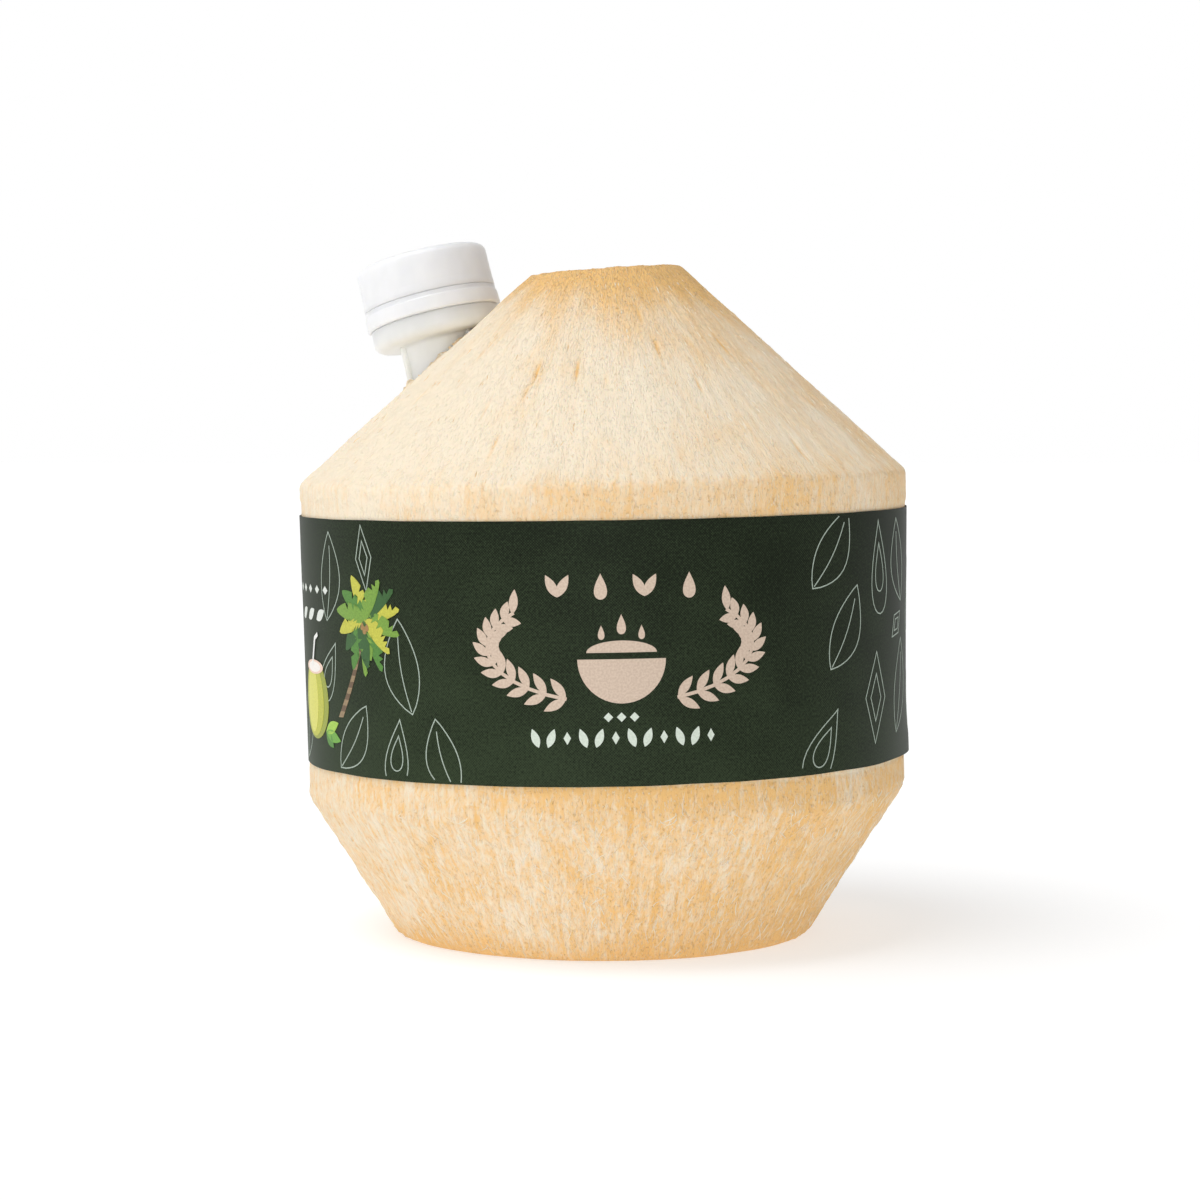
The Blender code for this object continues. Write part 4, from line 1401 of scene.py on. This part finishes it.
def make_spout():
    """Threaded neck, cup-shaped collar, barbed and ribbed stem."""
    closure = bpy.context.scene.coconut_closure
    milky = plastic_material("milky_plastic", closure.clear, 0.35, 0.9)
    axis = spout_frame()
    bead = NECK_RADIUS + BEAD_STANDS
    floor = COLLAR_UNDERSIDE + COLLAR_FLOOR
    inner = COLLAR_RADIUS - COLLAR_WALL
    profile = [
        (NECK_RADIUS, NECK_TOP, 0.0004),
        (NECK_RADIUS, BEAD_UNDERSIDE + 0.0015, 0.0002),
        (bead, BEAD_UNDERSIDE + 0.0008, 0.0002),
        (bead, BEAD_UNDERSIDE, 0.0002),
        (NECK_RADIUS, BEAD_UNDERSIDE, 0.0002),
        (NECK_RADIUS, floor, 0.0005),
        (inner, floor, 0.0006),
        (inner, COLLAR_TOP + 0.00025, 0.0003),
        (COLLAR_RADIUS, COLLAR_TOP + 0.00025, 0.0003),
        (COLLAR_RADIUS, COLLAR_UNDERSIDE, 0.0020),
        (STEM_RADIUS, COLLAR_UNDERSIDE, 0.0008),
    ]
    for level in BARB_LEVELS:
        profile += [(STEM_RADIUS, level, 0), (STEM_RADIUS + BARB_STANDS, level, 0.0002)]
        profile += [(STEM_RADIUS, level - BARB_LENGTH, 0)]
    profile += [
        (STEM_RADIUS, STEM_END, 0.0004),
        (STEM_BORE, STEM_END, 0.0003),
        (STEM_BORE, COLLAR_UNDERSIDE, 0.0005),
        (NECK_BORE, COLLAR_UNDERSIDE + 0.0038, 0.0008),
        (NECK_BORE, NECK_TOP, 0.0004),
    ]
    spout = turned("drinking_spout", eased(profile), axis, milky)
    combine(spout, helix_ridge(NECK_RADIUS + THREAD_STANDS, 0.0, 0.0, axis, milky), "UNION")
    for k in range(3):
        turn = Matrix.Rotation(math.radians(45 + 120 * k), 4, "Z")
        top = COLLAR_UNDERSIDE + COLLAR_FLOOR / 2
        place = axis @ turn @ Matrix.Translation((STEM_RADIUS + 0.00015, 0, top - STEM_RIB[2] / 2))
        combine(spout, rounded_bar("stem_rib", place, STEM_RIB, milky), "UNION")
    smoothed(spout, MOULDED)
    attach(spout, "fruit")
    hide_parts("spout")


def rounded_bar(name, place, sizes, material):
    """An upright bar with rounded edges."""
    *sides, rounding = sizes
    shape = bmesh.new()
    bmesh.ops.create_cube(shape, size=1.0)
    bmesh.ops.scale(shape, vec=sides, verts=shape.verts)
    bmesh.ops.bevel(shape, geom=shape.edges[:], offset=rounding, segments=3, affect="EDGES", profile=0.5)
    shape.verts.index_update()
    points = [place @ v.co for v in shape.verts]
    faces = [tuple(v.index for v in f.verts) for f in shape.faces]
    shape.free()
    return new_piece(name, points, faces, material)


def make_closure():
    """The tamper band that stays on the neck, the screw cap with its thread, and the sealing disc."""
    closure = bpy.context.scene.coconut_closure
    white = plastic_material("white_plastic", closure.white, 0.36)
    axis = spout_frame()
    hook = NECK_RADIUS + 0.0005
    band = turned("tamper_ring", eased([
        (BAND_TOP_RADIUS - 0.0001, BAND_HEIGHT + 0.0001, 0.0002),
        (BAND_TOP_RADIUS - 0.0001, 0.0034, 0.0003),
        (BAND_TOP_RADIUS + 0.0001, 0.0031, 0.0003),
        (BAND_BOTTOM_RADIUS - 0.0001, 0.0016, 0.0008),
        (BAND_BOTTOM_RADIUS, 0.0, 0.0005),
        (hook + 0.0004, 0.0, 0.0002),
        (hook, 0.0013, 0.0002),
        (CAP_BORE, 0.0013, 0.0002),
        (CAP_BORE, BAND_HEIGHT + 0.00012, 0.0002),
        (BAND_TOP_RADIUS - 0.0005, BAND_HEIGHT + 0.00012, 0),
    ]), axis, white)
    for k in range(closure.bridges):
        turn = Matrix.Rotation(2 * math.pi * (k + 0.3) / closure.bridges, 4, "Z")
        place = axis @ turn @ Matrix.Translation((BAND_TOP_RADIUS - 0.0007, 0, BAND_HEIGHT - 0.00018))
        combine(band, rounded_bar("bridge", place, BRIDGE, white), "UNION")
    smoothed(band, MOULDED)
    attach(band, "fruit")
    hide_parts("tamper_band")
    roof = [
        (0.0, CAP_TOP + 0.00020, 0),
        (0.0006, CAP_TOP + 0.00020, 0.0002),
        (0.0008, CAP_TOP + 0.00010, 0.0002),
        (0.0080, CAP_TOP + 0.00010, 0.0004),
        (0.0083, CAP_TOP - 0.00005, 0.0004),
        (CAP_RADIUS - 0.00005, CAP_TOP, 0.0017),
        (CAP_RADIUS + 0.00002, CAP_BOTTOM + 0.0020, 0.0010),
        (CAP_SKIRT_RADIUS, CAP_BOTTOM + 0.0008, 0.0003),
        (CAP_SKIRT_RADIUS - 0.00005, CAP_BOTTOM - 0.00012, 0.0003),
        (CAP_BORE, CAP_BOTTOM - 0.00012, 0.0003),
        (CAP_BORE, CAP_CEILING, 0.0005),
        (0.0, CAP_CEILING, 0),
    ]
    cap = turned("screw_cap", eased(roof, closed=False), axis, white, closed=False)
    half_turn_down = -THREAD_PITCH / 2
    first_turn = (CAP_BOTTOM + THREAD_RIDGE - THREAD_START - half_turn_down) / THREAD_PITCH
    combine(cap, helix_ridge(CAP_BORE - THREAD_STANDS, first_turn, half_turn_down, axis, white), "UNION")
    smoothed(cap, MOULDED)
    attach(cap, "cap")
    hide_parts("cap")
    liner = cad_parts["cap_liner"]
    liner.data.materials.clear()
    liner.data.materials.append(foam_material("sealing_foam", closure.foam))


# ---- Stage ---------------------------------------------------------------------------------------
FLOOR_RADIUS = 6
FLOOR_STEPS = 96
KEY_DIRECTION = (0.36, 0.18, -0.92)
FILL_DIRECTION = (0.05, 1.0, 0.05)


def add_sun(name, strength, size, direction):
    lamp = bpy.data.objects.new(name, bpy.data.lights.new(name, "SUN"))
    bpy.context.scene.collection.objects.link(lamp)
    lamp.data.energy = strength
    lamp.data.angle = size
    lamp.rotation_euler = Vector(direction).to_track_quat("-Z", "Y").to_euler()


def make_stage():
    stage = bpy.context.scene.coconut_stage
    scene = bpy.context.scene
    recipe = Recipe("floor")
    place = recipe.node("TexCoord", output="Object")
    dust = recipe.cloud(recipe.stretched(place, 0.004, 0.004), 2.0)
    tint = tuple(stage.floor)
    recipe.finish(
        Base_Color=recipe.mix(dust, tint, tuple(part * 0.985 for part in tint)),
        Roughness=0.9,
        Specular_IOR_Level=0.1,
        Emission_Color=(1.0, 1.0, 1.0, 1.0),
        Emission_Strength=stage.floor_glow,
    )
    ring = [(FLOOR_RADIUS * x, FLOOR_RADIUS * y, 0) for x, y in unit_circle(FLOOR_STEPS)]
    floor = new_piece("floor", ring, [tuple(range(FLOOR_STEPS))], recipe.material)
    scene.world = white_room(stage)
    add_sun("key", stage.sun, stage.sun_size, KEY_DIRECTION)
    add_sun("fill", stage.fill, stage.sun_size, FILL_DIRECTION)
    camera = bpy.data.objects.new("camera", bpy.data.cameras.new("camera"))
    scene.collection.objects.link(camera)
    camera.data.lens = stage.camera_lens
    camera.data.sensor_width = 36.0
    camera.data.clip_start = 0.05
    camera.location = stage.camera_place
    camera.rotation_euler = (math.pi / 2 - stage.camera_pitch, 0.0, 0.0)
    scene.camera = camera
    scene.view_settings.view_transform = "Standard"
    scene.view_settings.look = "None"


def white_room(stage):
    """White to look at; as light, bright behind the fruit, softer all round it and dimmer to its right."""
    world = bpy.data.worlds.new("white room")
    world.use_nodes = True
    tree = world.node_tree
    place = tree.nodes.new("ShaderNodeTexCoord")
    parts = tree.nodes.new("ShaderNodeSeparateXYZ")
    tree.links.new(place.outputs["Generated"], parts.inputs[0])
    levels = []
    for axis, low, high, first, last in (
        ("X", -0.2, 0.8, stage.sky, stage.sky * (1 - stage.dim)),
        ("Z", 0.0, 0.7, 1.45, 0.65),
        ("Y", 0.80, 0.94, 0.0, 1.0),
    ):
        level = tree.nodes.new("ShaderNodeMapRange")
        level.interpolation_type = "SMOOTHSTEP"
        for name, value in (("From Min", low), ("From Max", high), ("To Min", first), ("To Max", last)):
            level.inputs[name].default_value = value
        tree.links.new(parts.outputs[axis], level.inputs["Value"])
        levels.append(level.outputs["Result"])
    strength = levels[0]
    levels.append(tree.nodes.new("ShaderNodeLightPath").outputs["Is Camera Ray"])
    for operation, level in zip(("MULTIPLY", "MAXIMUM", "MAXIMUM"), levels[1:]):
        step = tree.nodes.new("ShaderNodeMath")
        step.operation = operation
        tree.links.new(strength, step.inputs[0])
        tree.links.new(level, step.inputs[1])
        strength = step.outputs[0]
    background = tree.nodes["Background"]
    background.inputs["Color"].default_value = (1.0, 1.0, 1.0, 1.0)
    tree.links.new(strength, background.inputs["Strength"])
    return world


# ---- Operators and panel -------------------------------------------------------------------------
class COCONUT_OT_husk(Operator):
    """Build the shaved husk and its loose fibres"""

    bl_idname = "coconut.husk"
    bl_label = "Husk"

    def execute(self, context):
        make_husk()
        return {"FINISHED"}


class COCONUT_OT_film(Operator):
    """Build the film wrapped round the waist"""

    bl_idname = "coconut.film"
    bl_label = "Label film"

    def execute(self, context):
        make_film()
        return {"FINISHED"}


class COCONUT_OT_artwork(Operator):
    """Build the printed artwork on the film"""

    bl_idname = "coconut.artwork"
    bl_label = "Printed artwork"

    def execute(self, context):
        make_artwork()
        return {"FINISHED"}


class COCONUT_OT_spout(Operator):
    """Build the milky drinking spout"""

    bl_idname = "coconut.spout"
    bl_label = "Spout"

    def execute(self, context):
        make_spout()
        return {"FINISHED"}


class COCONUT_OT_closure(Operator):
    """Build the tamper band and the cap, and finish the sealing disc"""

    bl_idname = "coconut.closure"
    bl_label = "Cap and band"

    def execute(self, context):
        make_closure()
        return {"FINISHED"}


class COCONUT_OT_stage(Operator):
    """Set up the floor, the light and the camera"""

    bl_idname = "coconut.stage"
    bl_label = "Stage"

    def execute(self, context):
        make_stage()
        return {"FINISHED"}


OPERATORS = (
    COCONUT_OT_stage,
    COCONUT_OT_husk,
    COCONUT_OT_film,
    COCONUT_OT_artwork,
    COCONUT_OT_spout,
    COCONUT_OT_closure,
)
SETTINGS = {
    "coconut_husk": HuskSettings,
    "coconut_label": LabelSettings,
    "coconut_closure": ClosureSettings,
    "coconut_stage": StageSettings,
}


class COCONUT_PT_panel(Panel):
    """Lists the operators in the order in which they run"""

    bl_idname = "COCONUT_PT_panel"
    bl_label = "Young coconut"
    bl_space_type = "VIEW_3D"
    bl_region_type = "UI"
    bl_category = "Coconut"

    def draw(self, context):
        for kind in OPERATORS:
            self.layout.operator(kind.bl_idname)
        for name in SETTINGS:
            box = self.layout.box()
            settings = getattr(context.scene, name)
            for key in settings.__annotations__:
                box.prop(settings, key)


CLASSES = (*SETTINGS.values(), *OPERATORS, COCONUT_PT_panel)


def register():
    for kind in CLASSES:
        bpy.utils.register_class(kind)
    for name, kind in SETTINGS.items():
        setattr(bpy.types.Scene, name, PointerProperty(type=kind))


def unregister():
    for name in SETTINGS:
        delattr(bpy.types.Scene, name)
    for kind in reversed(CLASSES):
        bpy.utils.unregister_class(kind)


def main():
    register()
    for kind in OPERATORS:
        family, action = kind.bl_idname.split(".")
        getattr(getattr(bpy.ops, family), action)()


if __name__ == "__main__":
    main()
